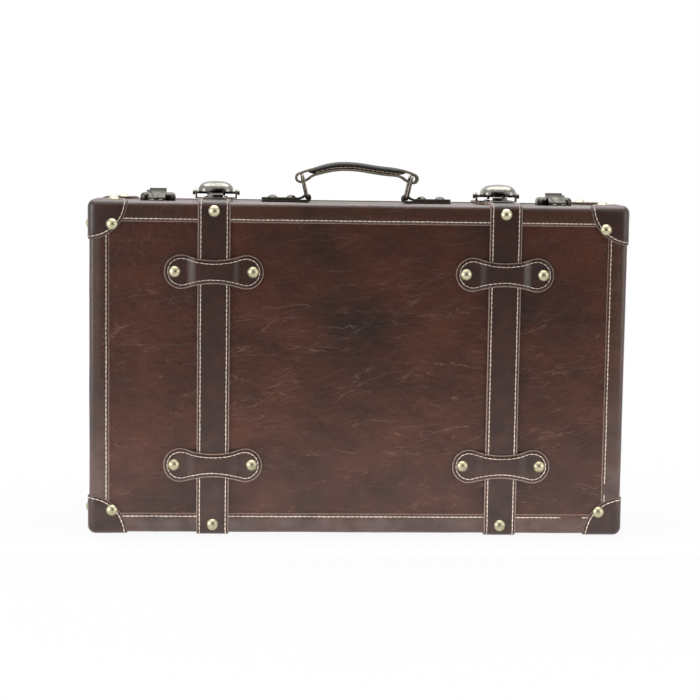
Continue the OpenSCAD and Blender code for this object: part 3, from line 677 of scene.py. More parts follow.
def sew(name, body, leather, seams, closed, s):
    """Rows of stitches on a piece of leather: one stitch is modelled, repeated to the length of each
    seam and bent along it."""
    bpy.context.view_layer.update()
    draw = random.Random(len(seams))
    wander, flat, proud = 0.12 * MM, 0.8, 0.2
    stitch = fresh("one_stitch", bpy.ops.mesh.primitive_uv_sphere_add, segments=6, ring_count=4, radius=0.5,
                   rotation=(0, math.pi / 2, 0))
    stitch.scale = (s.stitch, s.stitch_width, s.stitch_width * flat)
    stitch.location.x = s.stitch / 2
    settle(stitch, "one_stitch")
    rows = []
    for points in seams:
        curve = bpy.data.curves.new("seam", "CURVE")
        curve.dimensions = "3D"
        line = curve.splines.new("POLY")
        line.points.add(len(points) - 1)
        for knot, point in zip(line.points, points):
            _, place, normal, _ = leather.closest_point_on_mesh(point)
            off = Vector([draw.uniform(-wander, wander) for _ in range(3)])
            knot.co = (*(place + normal * s.stitch_width * proud + off), 1)
        line.use_cyclic_u = closed
        seam = placed("seam", curve)
        row = copy_of(stitch, "row")
        use_modifier(row, "ARRAY", fit_type="FIT_CURVE", curve=seam, use_relative_offset=False,
                     use_constant_offset=True, constant_offset_displace=(s.stitch_pitch, 0, 0))
        use_modifier(row, "CURVE", object=seam, deform_axis="POS_X")
        scrap(seam)
        rows.append(row)
    scrap(stitch)
    stitching = joined(rows, name)
    give(stitching, "waxed_linen_thread")
    bpy.ops.object.shade_smooth()
    mount(stitching, body, None)
    return stitching


def dome(width, height, flat=0.0):
    """Head of a dome nail at the origin, looking up +Z: a bisected ball with a broken rim."""
    rim = 0.35 * MM
    ball = (width * width / 4 + height * height) / (2 * height)
    head = fresh("one_nail", bpy.ops.mesh.primitive_uv_sphere_add, segments=28, ring_count=24, radius=ball,
                 location=(0, 0, height - ball))
    editing(head)
    cut((0, 0, 0), UP, clear_inner=True, use_fill=True)
    if flat:
        cut((0, 0, height - flat), UP, clear_outer=True, use_fill=True)
    round_edges(head, rim, 2, lambda e: all(abs(v.co.z) < MERGE for v in e.verts))
    done()
    smooth(head, 50)
    return head


def planted(head, spots, name, look):
    """Copies of a nail head at each place, looking along each direction."""
    heads = []
    for place, out in spots:
        twin = copy_of(head, "nail")
        turn = Vector(out).to_track_quat("Z", "Y").to_matrix().to_4x4()
        twin.matrix_world = Matrix.Translation(place) @ turn
        heads.append(settle(twin, "nail"))
    scrap(head)
    nails = joined(heads, name)
    give(nails, look)
    return nails


# Pieces

class SUITCASE_OT_covers(bpy.types.Operator):
    """Leather covers of the lid and the base, uneven as leather is that was glued over boards"""

    bl_idname = "suitcase.covers"
    bl_label = "Leather covers"

    def execute(self, context):
        s = context.scene.suitcase_sizes
        rim, chamfer = 4 * MM, 0.2 * MM
        for half, depth in DEPTHS.items():
            cover = half_block(half + "_cover", 0, depth, s)
            editing(cover)
            cut_cells(margin=12 * MM)
            slice_across(1, steps_between(-FACE_Y + CELL, -FACE_Y + depth - rim, CELL))
            done()
            on_half(cover, half, 0, MID_Z)
            dress(cover, half, ("glazed_cowhide", "burnished_leather_edge"), s.leather, chamfer,
                  "brown_leather", half + "_leather", MERGE)
        return {"FINISHED"}


class SUITCASE_OT_bands(bpy.types.Operator):
    """Edge bands that bind the rim of each face, with their row of stitches"""

    bl_idname = "suitcase.bands"
    bl_label = "Edge bands"

    def execute(self, context):
        s = context.scene.suitcase_sizes
        inset = s.band_width - s.stitch_inset
        wide, high = HALF_W - inset, HALF_H - inset
        for half, facing in FACINGS.items():
            band = half_block(half + "_band", s.band, s.band_width, s, s.band_width)
            editing(band)
            cut_cells(margin=25 * MM)
            self.crown(band, s)
            done()
            on_half(band, half, 0, TOP_Z - s.band_width * 0.7)
            dress(band, half, ("glazed_cowhide_band", "raw_leather_edge"), s.band, s.cut_edge * 0.7,
                  "brown_leather", half + "_edge_band", MERGE)
            corners = [Vector((sx * wide, facing.y * (FACE_Y + s.band), MID_Z + sz * high))
                       for sx, sz in ((-1, -1), (1, -1), (1, 1), (-1, 1))]
            sew(half + "_band_stitching", half, band, [spaced(corners, CELL, True)], True, s)
        return {"FINISHED"}

    @staticmethod
    def crown(band, s):
        """Pads the band's face: proud along its middle, drawn in where it is sewn."""
        front = -FACE_Y - s.band
        for inset, rise in ((8 * MM, 0.35 * MM), (11.5 * MM, 0.4 * MM), (15 * MM, -0.05 * MM),
                            (s.band_width, -0.2 * MM)):
            wide, high = HALF_W - inset, HALF_H - inset
            if inset < s.band_width:
                cut_frame(wide, high)
            shift(band, (0, -rise, 0), lambda v: v.co.y < front + MERGE and abs(
                max(abs(v.co.x) - wide, abs(v.co.z - MID_Z) - high)) < 10 * MERGE)


class SUITCASE_OT_patches(bpy.types.Operator):
    """Corner patches, formed over the rolled edges, with their stitches"""

    bl_idname = "suitcase.patches"
    bl_label = "Corner patches"

    def execute(self, context):
        s = context.scene.suitcase_sizes
        near = 15 * MM
        model = self.patch(s)
        for half, facing in FACINGS.items():
            parts, seams = [], []
            for sx, sz in CORNERS:
                part = copy_of(model, "patch_part")
                if sx < 0:
                    mirror(part, 0)
                if sz < 0:
                    mirror(part, 2, UP * MID_Z)
                on_half(part, half, sx * (HALF_W - near), MID_Z + sz * (HALF_H - near))
                parts.append(part)
                seams.append(self.seam(s, sx, facing.y, sz))
            patches = joined(parts, half + "_patches")
            dress(patches, half, ("waxed_bridle_leather", "waxed_leather_edge"), s.patch_rise, s.cut_edge,
                  "dark_leather", half + "_corner_caps")
            sew(half + "_patch_stitching", half, patches, seams, True, s)
        scrap(model)
        return {"FINISHED"}

    @staticmethod
    def fan(ways):
        """Directions of three quarter circles, from each of three ways to the next."""
        return [a * math.cos(turn) + b * math.sin(turn) for a, b in zip(ways, ways[1:] + ways[:1])
                for turn in steps_between(0, math.pi / 2, math.pi / 32)[:-1]]

    @classmethod
    def patch(cls, s):
        """Patch of the lid's upper right corner: three sides of a block, rolled, and cut round."""
        out = s.patch_rise
        corner = Vector((HALF_W + out, -FACE_Y - out, TOP_Z + out))
        size = s.patch_radius * 1.2
        patch = block("patch", corner - Vector((size, 0, size)), corner + Vector((0, size, 0)))
        editing(patch)
        drop_faces(patch, lambda f: all((v.co - corner).length > MERGE for v in f.verts))
        round_edges(patch, (s.edge_radius + s.corner_radius) / 2 + out, 8,
                    lambda e: any((v.co - corner).length < MERGE for v in e.verts))
        for axis, way in enumerate((-1, 1, -1)):
            slice_across(axis, [corner[axis] + way * step * MM for step in (12, 19, 26)])
        for way in cls.fan([Vector((-1, 0, 0)), Vector((0, 1, 0)), Vector((0, 0, -1))]):
            cut(corner + way * s.patch_radius, way, clear_outer=True)
        done()
        return patch

    @classmethod
    def seam(cls, s, sx, sy, sz):
        """Line of stitches round a corner, inside the patch's cut edge."""
        out = s.patch_rise
        corner = Vector((sx * (HALF_W + out), sy * (FACE_Y + out), MID_Z + sz * (HALF_H + out)))
        reach = s.patch_radius - s.stitch_inset
        return [corner + reach * way
                for way in cls.fan([Vector((-sx, 0, 0)), Vector((0, 0, -sz)), Vector((0, -sy, 0))])]


class SUITCASE_OT_straps(bpy.types.Operator):
    """Straps round both halves, stitched along both edges"""

    bl_idname = "suitcase.straps"
    bl_label = "Straps"

    def execute(self, context):
        s = context.scene.suitcase_sizes
        edge = s.strap_width / 2 - s.stitch_inset
        for half, depth in DEPTHS.items():
            end = depth - STRAP_STOP
            for side, sx in SIDES.items():
                x = sx * STRAP_X
                strap = self.strap(s, f"{half}_{side}_strap", x, end)
                on_half(strap, half, x, MID_Z)
                dress(strap, half, ("waxed_bridle_leather", "raw_leather_edge"), s.strap_rise, s.cut_edge,
                      "dark_leather", f"{half}_strap_{side}")
                seams = [self.line(s, x + k * edge, end, FACINGS[half].y) for k in WAYS]
                sew(f"{half}_{side}_strap_stitching", half, strap, seams, False, s)
        return {"FINISHED"}

    @staticmethod
    def strap(s, name, x, end):
        """Strap of the lid, from its upper end over the face to its lower end."""
        start = 4 * MM
        margin = 12 * MM
        roll, wide = s.edge_radius, s.strap_width / 2
        y = -FACE_Y + end
        top = TOP_Z + s.strap_rise
        strap = ribbon(
            name, (x - wide, y - start, top), (x + wide, y, top), (x, y - start, top), [
                ("go", (0, start + roll - end, 0)),
                ("turn", (x, -FACE_Y + roll, TOP_Z - roll), (1, 0, 0), math.pi / 2, ROLL_STEPS),
                ("go", (0, 0, -2 * (HALF_H - roll))),
                ("turn", (x, -FACE_Y + roll, LOW_Z + roll), (1, 0, 0), math.pi / 2, ROLL_STEPS),
                ("go", (0, end - roll, 0)),
            ])
        editing(strap)
        slice_across(2, steps_between(LOW_Z + margin, TOP_Z - margin, CELL))
        slice_across(1, steps_between(-FACE_Y + 10 * MM, y - 5 * MM, CELL))
        slice_across(0, [x - wide * 0.72, x, x + wide * 0.72])
        done()
        return strap

    @staticmethod
    def line(s, x, end, sy):
        """Line of a seam along the strap's outer face."""
        out = s.strap_rise
        roll = s.edge_radius + out
        bend = roll * 0.3
        front = sy * (FACE_Y + out)
        back = sy * (FACE_Y - end + 1.5 * MM)
        upper = [(back, TOP_Z + out), (front - sy * roll, TOP_Z + out),
                 (front - sy * bend, TOP_Z + out - bend), (front, TOP_Z + out - roll)]
        lower = [(y, 2 * MID_Z - z) for y, z in reversed(upper)]
        return spaced([Vector((x, y, z)) for y, z in upper + lower], 5 * MM)


class SUITCASE_OT_tabs(bpy.types.Operator):
    """Dog-bone tabs that hold the straps to the faces, stitched round their edges"""

    bl_idname = "suitcase.tabs"
    bl_label = "Strap tabs"

    def execute(self, context):
        s = context.scene.suitcase_sizes
        model = self.tab(s)
        for half, facing in FACINGS.items():
            parts, seams = [], []
            for sx, sz in CORNERS:
                at = Vector((sx * STRAP_X, -FACE_Y, MID_Z + sz * s.tab_height))
                part = copy_of(model, "tab_part")
                part.rotation_euler = (math.pi / 2, 0, 0)
                part.location = at
                on_half(settle(part, "tab_part"), half, at.x, at.z)
                parts.append(part)
                outline = [Vector((at.x + x, facing.y * (FACE_Y + s.tab + self.lift(s, x)), at.z + y))
                           for x, y in self.outline(s, s.stitch_inset + 0.6 * MM)]
                seams.append(spaced(outline, 4 * MM, True))
            tabs = joined(parts, half + "_tabs")
            dress(tabs, half, ("waxed_bridle_leather", "raw_leather_edge"), s.tab, s.cut_edge * 0.85,
                  "dark_leather", half + "_strap_tabs")
            sew(half + "_tab_stitching", half, tabs, seams, True, s)
        scrap(model)
        return {"FINISHED"}

    @staticmethod
    def half_width(s, x):
        """Half width of a tab at a distance from its middle."""
        lobe = s.tab_lobe / 2
        middle = s.tab_length / 2 - lobe
        waist = s.tab_waist / 2
        bow = (middle ** 2 + waist ** 2 - lobe ** 2) / (2 * (lobe - waist))
        x = abs(x)
        if x < middle * bow / (bow + lobe):
            return waist + bow - math.sqrt(bow ** 2 - x ** 2)
        return math.sqrt(max(0.0, lobe ** 2 - (x - middle) ** 2))

    @classmethod
    def outline(cls, s, inset):
        """Points round a tab, inside its edge by the inset."""
        lobe = s.tab_lobe / 2
        middle = s.tab_length / 2 - lobe
        upper = [(x, cls.half_width(s, x) - inset) for x in steps_between(-middle, middle, 3 * MM)]
        arc = [(middle + (lobe - inset) * math.sin(a), (lobe - inset) * math.cos(a))
               for a in steps_between(0.15, math.pi - 0.15, 0.2)]
        lower = [(x, -y) for x, y in reversed(upper)]
        return upper + arc + lower + [(-x, -y) for x, y in arc]

    @staticmethod
    def crest(s):
        """Distance from a tab's middle at which it begins to climb down from its strap."""
        return s.strap_width / 2 + 0.4 * MM

    @classmethod
    def lift(cls, s, x):
        """Height of a tab over its lobes, where it climbs the strap."""
        part = min(1.0, max(0.0, (cls.crest(s) + s.tab_slope - abs(x)) / s.tab_slope))
        return s.strap_rise * part * part * (3 - 2 * part)

    @classmethod
    def tab(cls, s):
        """One tab, flat on the ground plane with its outer face up."""
        lobe = s.tab_lobe / 2
        middle = s.tab_length / 2 - lobe
        tab = fresh("one_tab", bpy.ops.mesh.primitive_circle_add, vertices=64, radius=lobe, fill_type="NGON",
                    location=(0, 0, s.tab))
        editing(tab)
        for way in WAYS:
            shift(tab, (way * middle, 0, 0), lambda v: v.co.x * way > MERGE)
        pick(tab, "EDGE", lambda e: (e.verts[0].co - e.verts[1].co).length > middle / 2)
        bpy.ops.mesh.subdivide(number_cuts=14)
        for column in cls.columns(tab, lambda x: abs(x) < middle):
            stretch(tab, (1, cls.half_width(s, column) / lobe, 1), (0, 0, s.tab),
                    lambda v: abs(abs(v.co.x) - column) < MERGE)
        # Fine cuts where the tab climbs, coarser ones on its flats
        crest = cls.crest(s)
        slopes = steps_between(crest - 0.6 * MM, crest + s.tab_slope + 0.6 * MM, 0.8 * MM)
        flats = steps_between(-crest + 4 * MM, crest - 4 * MM, 7 * MM)
        outer = steps_between(crest + s.tab_slope + 3 * MM, middle + lobe - 3 * MM, 6 * MM)
        slice_across(0, flats + [way * x for way in WAYS for x in slopes + outer])
        slice_across(1, steps_between(-12 * MM, 12 * MM, 6 * MM))
        for column in cls.columns(tab, lambda x: cls.lift(s, x) > MERGE):
            shift(tab, (0, 0, cls.lift(s, column)), lambda v: abs(abs(v.co.x) - column) < MERGE)
        done()
        return tab

    @staticmethod
    def columns(tab, test):
        """Distances from the middle at which the tab has points, where they pass a test."""
        return sorted({round(abs(v.co.x), 7) for v in bmesh.from_edit_mesh(tab.data).verts if test(v.co.x)})


class SUITCASE_OT_nails(bpy.types.Operator):
    """Dome nails of the patches, straps and tabs, the feet and the rivets of the chapes"""

    bl_idname = "suitcase.nails"
    bl_label = "Dome nails"

    def execute(self, context):
        s = context.scene.suitcase_sizes
        foot_z = LOW_Z - s.patch_rise
        for half, facing in FACINGS.items():
            sy = facing.y
            back_y = sy * (FACE_Y - s.nail_inset)
            spots, feet = [], []
            for sx in WAYS:
                strap_x = sx * STRAP_X
                near_x = sx * (HALF_W - s.nail_inset)
                for sz in WAYS:
                    near_z = MID_Z + sz * (HALF_H - s.nail_inset)
                    strap_z = MID_Z + sz * (HALF_H - s.strap_nail)
                    tab_z = MID_Z + sz * s.tab_height
                    spots.append(((near_x, sy * (FACE_Y + s.patch_rise), near_z), facing))
                    spots.append(((strap_x, sy * (FACE_Y + s.strap_rise), strap_z), facing))
                    spots.extend(((strap_x + k * s.tab_nail, sy * (FACE_Y + s.tab), tab_z), facing)
                                 for k in WAYS)
                    spots.append(((sx * (HALF_W + s.patch_rise), back_y, near_z), (sx, 0, 0)))
                spots.append(((near_x, back_y, TOP_Z + s.patch_rise), UP))
                feet.append(((near_x, back_y, foot_z), -UP))
            nails = planted(dome(s.nail_width, s.nail_height), spots, half + "_dome_nails", "pale_brass")
            mount(nails, half, "nail_brass", half + "_nails")
            stand = dome(s.nail_width, s.nail_height, flat=s.nail_height - foot_z)
            stands = planted(stand, feet, half + "_standing_nails", "pale_brass")
            mount(stands, half, "nail_brass", half + "_feet")
        low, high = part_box("chape_rivets")
        rivet_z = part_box("chape_right")[0].z + 2 * s.loop
        ring_x = PIVOTS["ring_right_swing"].x
        gaps = (15 * MM, 33 * MM)
        spots = [((sx * (ring_x + gap), 0, rivet_z), UP) for sx in WAYS for gap in gaps]
        rivet = dome(high.y - low.y, high.z - rivet_z)
        rivets = planted(rivet, spots, "chape_dome_rivets", "tarnished_nickel_plate")
        mount(rivets, "base", "nail_brass", "chape_rivets")
        return {"FINISHED"}


class SUITCASE_OT_linings(bpy.types.Operator):
    """Cotton linings of both halves"""

    bl_idname = "suitcase.linings"
    bl_label = "Linings"

    def execute(self, context):
        cloth = 1 * MM
        step = 20 * MM
        wide, high = 220 * MM, 130 * MM
        for half, facing in FACINGS.items():
            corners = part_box(half + "_lining")
            inset = Vector((cloth, cloth / 2, cloth))
            middle = facing * cloth / 2
            lining = block(half + "_cotton_lining", corners[0] + inset - middle, corners[1] - inset - middle)
            editing(lining)
            drop_faces(lining, lambda f: f.normal.dot(facing) < -ALONG)
            round_edges(lining, 4 * MM, 3, lambda e: len(e.link_faces) == 2)
            slice_across(0, steps_between(-wide, wide, step))
            slice_across(2, steps_between(MID_Z - high, MID_Z + high, step))
            done()
            face_out(lining, facing * FACE_Y + UP * MID_Z, -facing)
            swell(lining)
            give(lining, "woven_cotton")
            use_modifier(lining, "SOLIDIFY", thickness=cloth, offset=-1, use_even_offset=True)
            smooth(lining, 50)
            mount(lining, half, "lining_cloth", half + "_lining")
        return {"FINISHED"}


class SUITCASE_OT_handle(bpy.types.Operator):
    """Carrying grip: a padded roll on a liner whose ends loop round the rings, stitched along both sides"""

    bl_idname = "suitcase.handle"
    bl_label = "Handle"

    def execute(self, context):
        s = context.scene.suitcase_sizes
        bar = PIVOTS["handle_pivot"].copy()
        bar.x = abs(bar.x)
        arch = (bar.x ** 2 + s.grip_rise ** 2) / (2 * s.grip_rise)
        middle = UP * (bar.z + s.grip_rise - arch)
        reach = math.asin(bar.x / arch)
        liner = self.liner(s, arch, middle, reach)
        roll = self.roll(s, arch, middle, reach)
        for piece in (liner, roll):
            mount(piece, "handle", "dark_leather", "handle_grip")
        # The seams run along the roll's lower flanks, and stop short of its ends
        side = s.grip_width / 2
        low = arch - 2.2 * MM
        sewn = reach * 0.76
        seams = [[middle + Vector((low * math.sin(a), y * side, low * math.cos(a)))
                  for a in steps_between(-sewn, sewn, 0.02)] for y in WAYS]
        stitching = sew("grip_stitching", "handle", roll, seams, False, s)
        self.lean((liner, roll, stitching), bar)
        return {"FINISHED"}

    @staticmethod
    def lean(pieces, bar):
        """Worn set of the grip: highest left of its middle, lower on the right, unmoved at the rings."""
        rises = (0, 0.9 * MM, -0.5 * MM, -1.9 * MM, 0)
        cage = placed("cage", bpy.data.lattices.new("cage"))
        cage.location = UP * bar.z
        cage.scale.x = 2 * (bar.x - 10 * MM)
        cage.data.points_u = len(rises)
        cage.data.interpolation_type_u = "KEY_CARDINAL"
        for index, point in enumerate(cage.data.points):
            point.co_deform.z += rises[index % len(rises)]
        bpy.context.view_layer.update()
        for piece in pieces:
            use_modifier(piece, "LATTICE", object=cage)
        scrap(cage)

    @staticmethod
    def liner(s, arch, middle, reach):
        """Strip under the roll, from the middle out round a ring and back, and its mirrored half."""
        wide = s.loop_width / 2
        turned = reach * 0.55
        # Stops before and after the turn round the ring: along the arch from the bar, and out of it, in mm
        stops_out = ((-22, -4.6), (-15, -4.3), (-11, -4.2), (-8, -4.7), (-5, -5.8), (-2, -6.3), (2.2, -6.3))
        stops_back = ((-4, 4.1), (-9, 4.05), (-14, 3.7), (-20, 2.6), (-26, 1.2))
        hub_stop = (2.2, -1.1)

        def at(along, rise):
            turn = reach + along * MM / arch
            return middle + Vector((math.sin(turn), 0, math.cos(turn))) * (arch + rise * MM)

        def runs(now, stops):
            places = [now] + [at(*stop) for stop in stops]
            return [("go", b - a) for a, b in zip(places, places[1:])]

        begin = middle + Vector((2 * MM, 0, arch - 4.7 * MM))
        hub = at(*hub_stop)
        moves = [("turn", middle, (0, 1, 0), turned, 10)]
        moves += runs(middle + Matrix.Rotation(turned, 3, "Y") @ (begin - middle), stops_out)
        moves.append(("turn", hub, (0, 1, 0), -math.pi, 10))
        moves += runs(2 * hub - at(*stops_out[-1]), stops_back)
        liner = ribbon("grip_liner", (0, -wide, begin.z), (begin.x, wide, begin.z), begin, moves)
        editing(liner)
        slice_across(1, [-wide * 0.6, wide * 0.6])
        # The end that lies inside the roll is narrower
        for stop, share in zip(stops_back[-2:], (0.85, 0.6)):
            stretch(liner, (1, share, 1), (0, 0, 0),
                    lambda v: (Vector((v.co.x, 0, v.co.z)) - at(*stop)).length < 0.1 * MM)
        done()
        other = left_twin(liner, "grip_liner_left", Vector((1 * MM, 0, begin.z)), -UP)
        both = joined([liner, other], "grip_liner")
        editing(both)
        weld()
        done()
        leather_sheet(both, ("grip_leather", "olive_leather_edge"), s.loop, 0.5 * MM)
        return both

    @staticmethod
    def roll(s, arch, middle, reach):
        """Padded upper leather: a rounded section spun along the arch, drawn thin towards the rings."""
        count = 24
        end = reach * 0.88
        # Share of the half length at which the roll begins to thin
        tail = 0.85
        half_height = 3.1 * MM
        crown = middle + UP * (arch + 0.9 * MM)
        roll = fresh("grip_roll", bpy.ops.mesh.primitive_circle_add, (half_height, s.grip_width / 2, 1),
                     vertices=24, radius=1, rotation=(0, math.pi / 2, 0), location=crown)
        editing(roll)
        # The flanks are filled out and the underside lies flat on the liner
        stretch(roll, (1, 1, 1.25), crown, lambda v: abs(v.co.y) > s.grip_width * 0.3)
        stretch(roll, (1, 1, 1.1), crown, lambda v: v.co.z < crown.z - MERGE)
        everything()
        bpy.ops.mesh.spin(steps=count, angle=-end, center=middle, axis=(0, 1, 0))
        pick(roll, "EDGE", lambda e: all(abs(v.co.x) < MERGE for v in e.verts))
        bpy.ops.mesh.spin(steps=count, angle=end, center=middle, axis=(0, 1, 0))
        weld()
        for part in [k / count for k in range(count + 1) if k / count >= tail]:
            thin = 1 - 0.7 * ((part - tail) / (1 - tail)) ** 1.5
            for way in WAYS:
                turn = way * end * part
                spine = middle + Vector((math.sin(turn), 0, math.cos(turn))) * (arch + 2.3 * MM)
                stretch(roll, (1, 0.85 + 0.15 * thin, thin), spine, lambda v: abs(
                    math.atan2(v.co.x, v.co.z - middle.z) - turn) < end / count / 4)
        for way in WAYS:
            pick(roll, "EDGE", lambda e: len(e.link_faces) == 1 and centre(e).x * way > 0)
            bpy.ops.mesh.edge_face_add()
        turn_normals_out()
        done()
        give(roll, "grip_leather")
        soften(roll, width=0.7 * MM, sharp=60, degrees=50)
        return roll


class SUITCASE_OT_chapes(bpy.types.Operator):
    """Leather chapes that hold the rings: each is folded round its ring and riveted to the case"""

    bl_idname = "suitcase.chapes"
    bl_label = "Chapes"

    def execute(self, context):
        s = context.scene.suitcase_sizes
        ring = PIVOTS["ring_right_swing"]
        low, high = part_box("chape_right")
        wide = s.loop_width / 2
        tail = high.x
        start = 3 * MM
        rise = low.z + 2 * s.loop
        drop = high.z - rise
        # How the upper leaf comes down from the ring: runs, and shares of the drop
        slope = ((2 * MM, 0.2), (3 * MM, 0.55), (3 * MM, 0.25))
        moves = [("go", (ring.x - tail + start, 0, ring.z - (high.z - ring.z) - low.z)),
                 ("turn", ring, (0, 1, 0), math.pi, 10)]
        moves += [("go", (run, 0, -share * drop)) for run, share in slope]
        moves.append(("go", (tail - ring.x - sum(run for run, _ in slope), 0, 0)))
        first, last = (tail - start, -wide, low.z), (tail, wide, low.z)
        right = ribbon("chape", first, last, (tail - start, 0, low.z), moves)
        editing(right)
        pick(right, "VERT", lambda v: v.co.x > tail - MERGE)
        bpy.ops.mesh.bevel(offset=wide * 0.95, segments=8, affect="VERTICES")
        slice_across(0, steps_between(ring.x + 14 * MM, tail - 9 * MM, 5 * MM))
        done()
        left = left_twin(right, "chape_left_leather", Vector((tail - 10 * MM, 0, rise)), UP)
        for piece, side in ((left, "left"), (right, "right")):
            named(piece, f"chape_{side}_leather")
            leather_sheet(piece, ("grip_leather", "burnished_leather_edge"), s.loop * 0.96, 0.4 * MM)
            mount(piece, "base", "dark_leather", f"chape_{side}")
        return {"FINISHED"}


class SUITCASE_OT_latches(bpy.types.Operator):
    """Domed latch levers with their cheeks and claws"""

    bl_idname = "suitcase.latches"
    bl_label = "Latch levers"

    def execute(self, context):
        sheet, gap, cheek_x = 1.4 * MM, 0.4 * MM, 7.5 * MM
        for side in SIDES:
            low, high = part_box(f"latch_lever_{side}")
            pin = PIVOTS[f"latch_{side}_lift"]
            cheek_top, claw_top = high.z - 5 * MM, high.z - 7 * MM
            claw_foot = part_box(f"keeper_{side}")[1].z + gap
            parts = [self.cover(low, high, sheet)]
            for way in WAYS:
                parts.append(self.cheek(pin + Vector((way * cheek_x, 0, 0)), pin.z - low.z, cheek_top))
            parts.append(self.claw(pin.x, low.y, claw_foot, claw_top, sheet))
            lever = joined(parts, f"latch_dome_{side}")
            give(lever, "worn_nickel_plate")
            mount(lever, f"latch_{side}", "nickel", f"latch_lever_{side}")
        return {"FINISHED"}

    @staticmethod
    def cover(low, high, sheet):
        """Pressed dome of a lever, open below."""
        crown = 1.6 * MM
        rim = high.z - 10.2 * MM
        top = high.z - crown
        mid = (low + high) / 2
        cover = block("lever_cover", (low.x, low.y, rim), (high.x, high.y, top))
        editing(cover)
        drop_faces(cover, lambda f: f.normal.z < -ALONG)
        round_edges(cover, 10 * MM, 8, lambda e: abs(direction(e).z) > ALONG)
        round_edges(cover, top - rim - 1.2 * MM, 6, lambda e: all(v.co.z > top - MERGE for v in e.verts))
        for axis in (0, 1):
            slice_across(axis, steps_between(low[axis] + 5 * MM, high[axis] - 5 * MM, 2.5 * MM))
        pick(cover, "VERT", lambda v: v.co.z > top - MERGE and (v.co.xy - mid.xy).length < 2.2 * MM)
        bpy.ops.transform.translate(
            value=(0, 0, crown), use_proportional_edit=True, proportional_edit_falloff="SMOOTH",
            proportional_size=15 * MM)
        done()
        face_out(cover, Vector((mid.x, mid.y, high.z)), UP)
        use_modifier(cover, "SOLIDIFY", thickness=sheet, offset=-1, use_even_offset=True)
        soften(cover, width=0.3 * MM, sharp=60, degrees=45)
        return cover

    @staticmethod
    def cheek(pin, radius, top):
        """Ear of a lever: a disc round the pin, drawn up into the dome."""
        cheek = fresh("lever_cheek", bpy.ops.mesh.primitive_cylinder_add, vertices=24, radius=radius,
                      depth=2.2 * MM, location=pin, rotation=(0, math.pi / 2, 0))
        editing(cheek)
        shift(cheek, (0, 0, top - pin.z - radius), lambda v: v.co.z > pin.z + MERGE)
        done()
        soften(cheek, width=0.25 * MM, sharp=50, degrees=40)
        return cheek

    @staticmethod
    def claw(x, front, low, top, sheet):
        """Plate at the front of a lever that hooks over the keeper."""
        wide = 7 * MM
        claw = block("lever_claw", (x - wide, front, low), (x + wide, front + sheet, top))
        editing(claw)
        round_edges(claw, 2 * MM, 4, lambda e: abs(direction(e).y) > ALONG and centre(e).z < (low + top) / 2)
        done()
        soften(claw, width=0.25 * MM, sharp=50, degrees=40)
        return claw


class SUITCASE_OT_metalwork(bpy.types.Operator):
    """Plates, locks, hinges, pins and rings: the solids' shapes with broken edges"""

    bl_idname = "suitcase.metalwork"
    bl_label = "Metalwork"

    def execute(self, context):
        def pairs(*parts):
            return [f"{part}_{side}" for part in parts for side in SIDES]

        dull = ["latch_plate_rivets", "keeper_rivets", "hasp_leaf_rivets", "hasp_pins", "base_hinge_leaves",
                "lid_hinge_leaves", "hinge_pins", "base_hinge_rivets", "lid_hinge_rivets"]
        dull += pairs("lock_case", "hasp_leaf", "hasp", "lock_button")
        bright = ["latch_pins"] + pairs("latch_plate", "keeper")
        bodies = frame["record"]["behaviour"]["bodies"]
        owners = {node: body for body, nodes in bodies.items() for node in nodes}
        for nodes, look, slot in (
            (dull, "tarnished_nickel_plate", "nickel"), (bright, "worn_nickel_plate", "nickel"),
            (pairs("ring"), "dull_steel_wire", "ring_wire"),
        ):
            for node in nodes:
                piece = placed(node + "_metal", frame["nodes"][node].data.copy())
                editing(piece)
                weld()
                bpy.ops.mesh.dissolve_limited(angle_limit=math.radians(1))
                done()
                give(piece, look)
                soften(piece, width=0.25 * MM, sharp=40, degrees=40)
                mount(piece, owners[node], slot, node)
        return {"FINISHED"}


class SUITCASE_OT_boards(bpy.types.Operator):
    """Plywood boards and the rim lip, which keep the solids' shapes"""

    bl_idname = "suitcase.boards"
    bl_label = "Boards"

    def execute(self, context):
        for name, node in frame["nodes"].items():
            if name.endswith("_board"):
                give(node, "sanded_plywood")
        give(frame["nodes"]["rim_lip"], "woven_cotton")
        return {"FINISHED"}


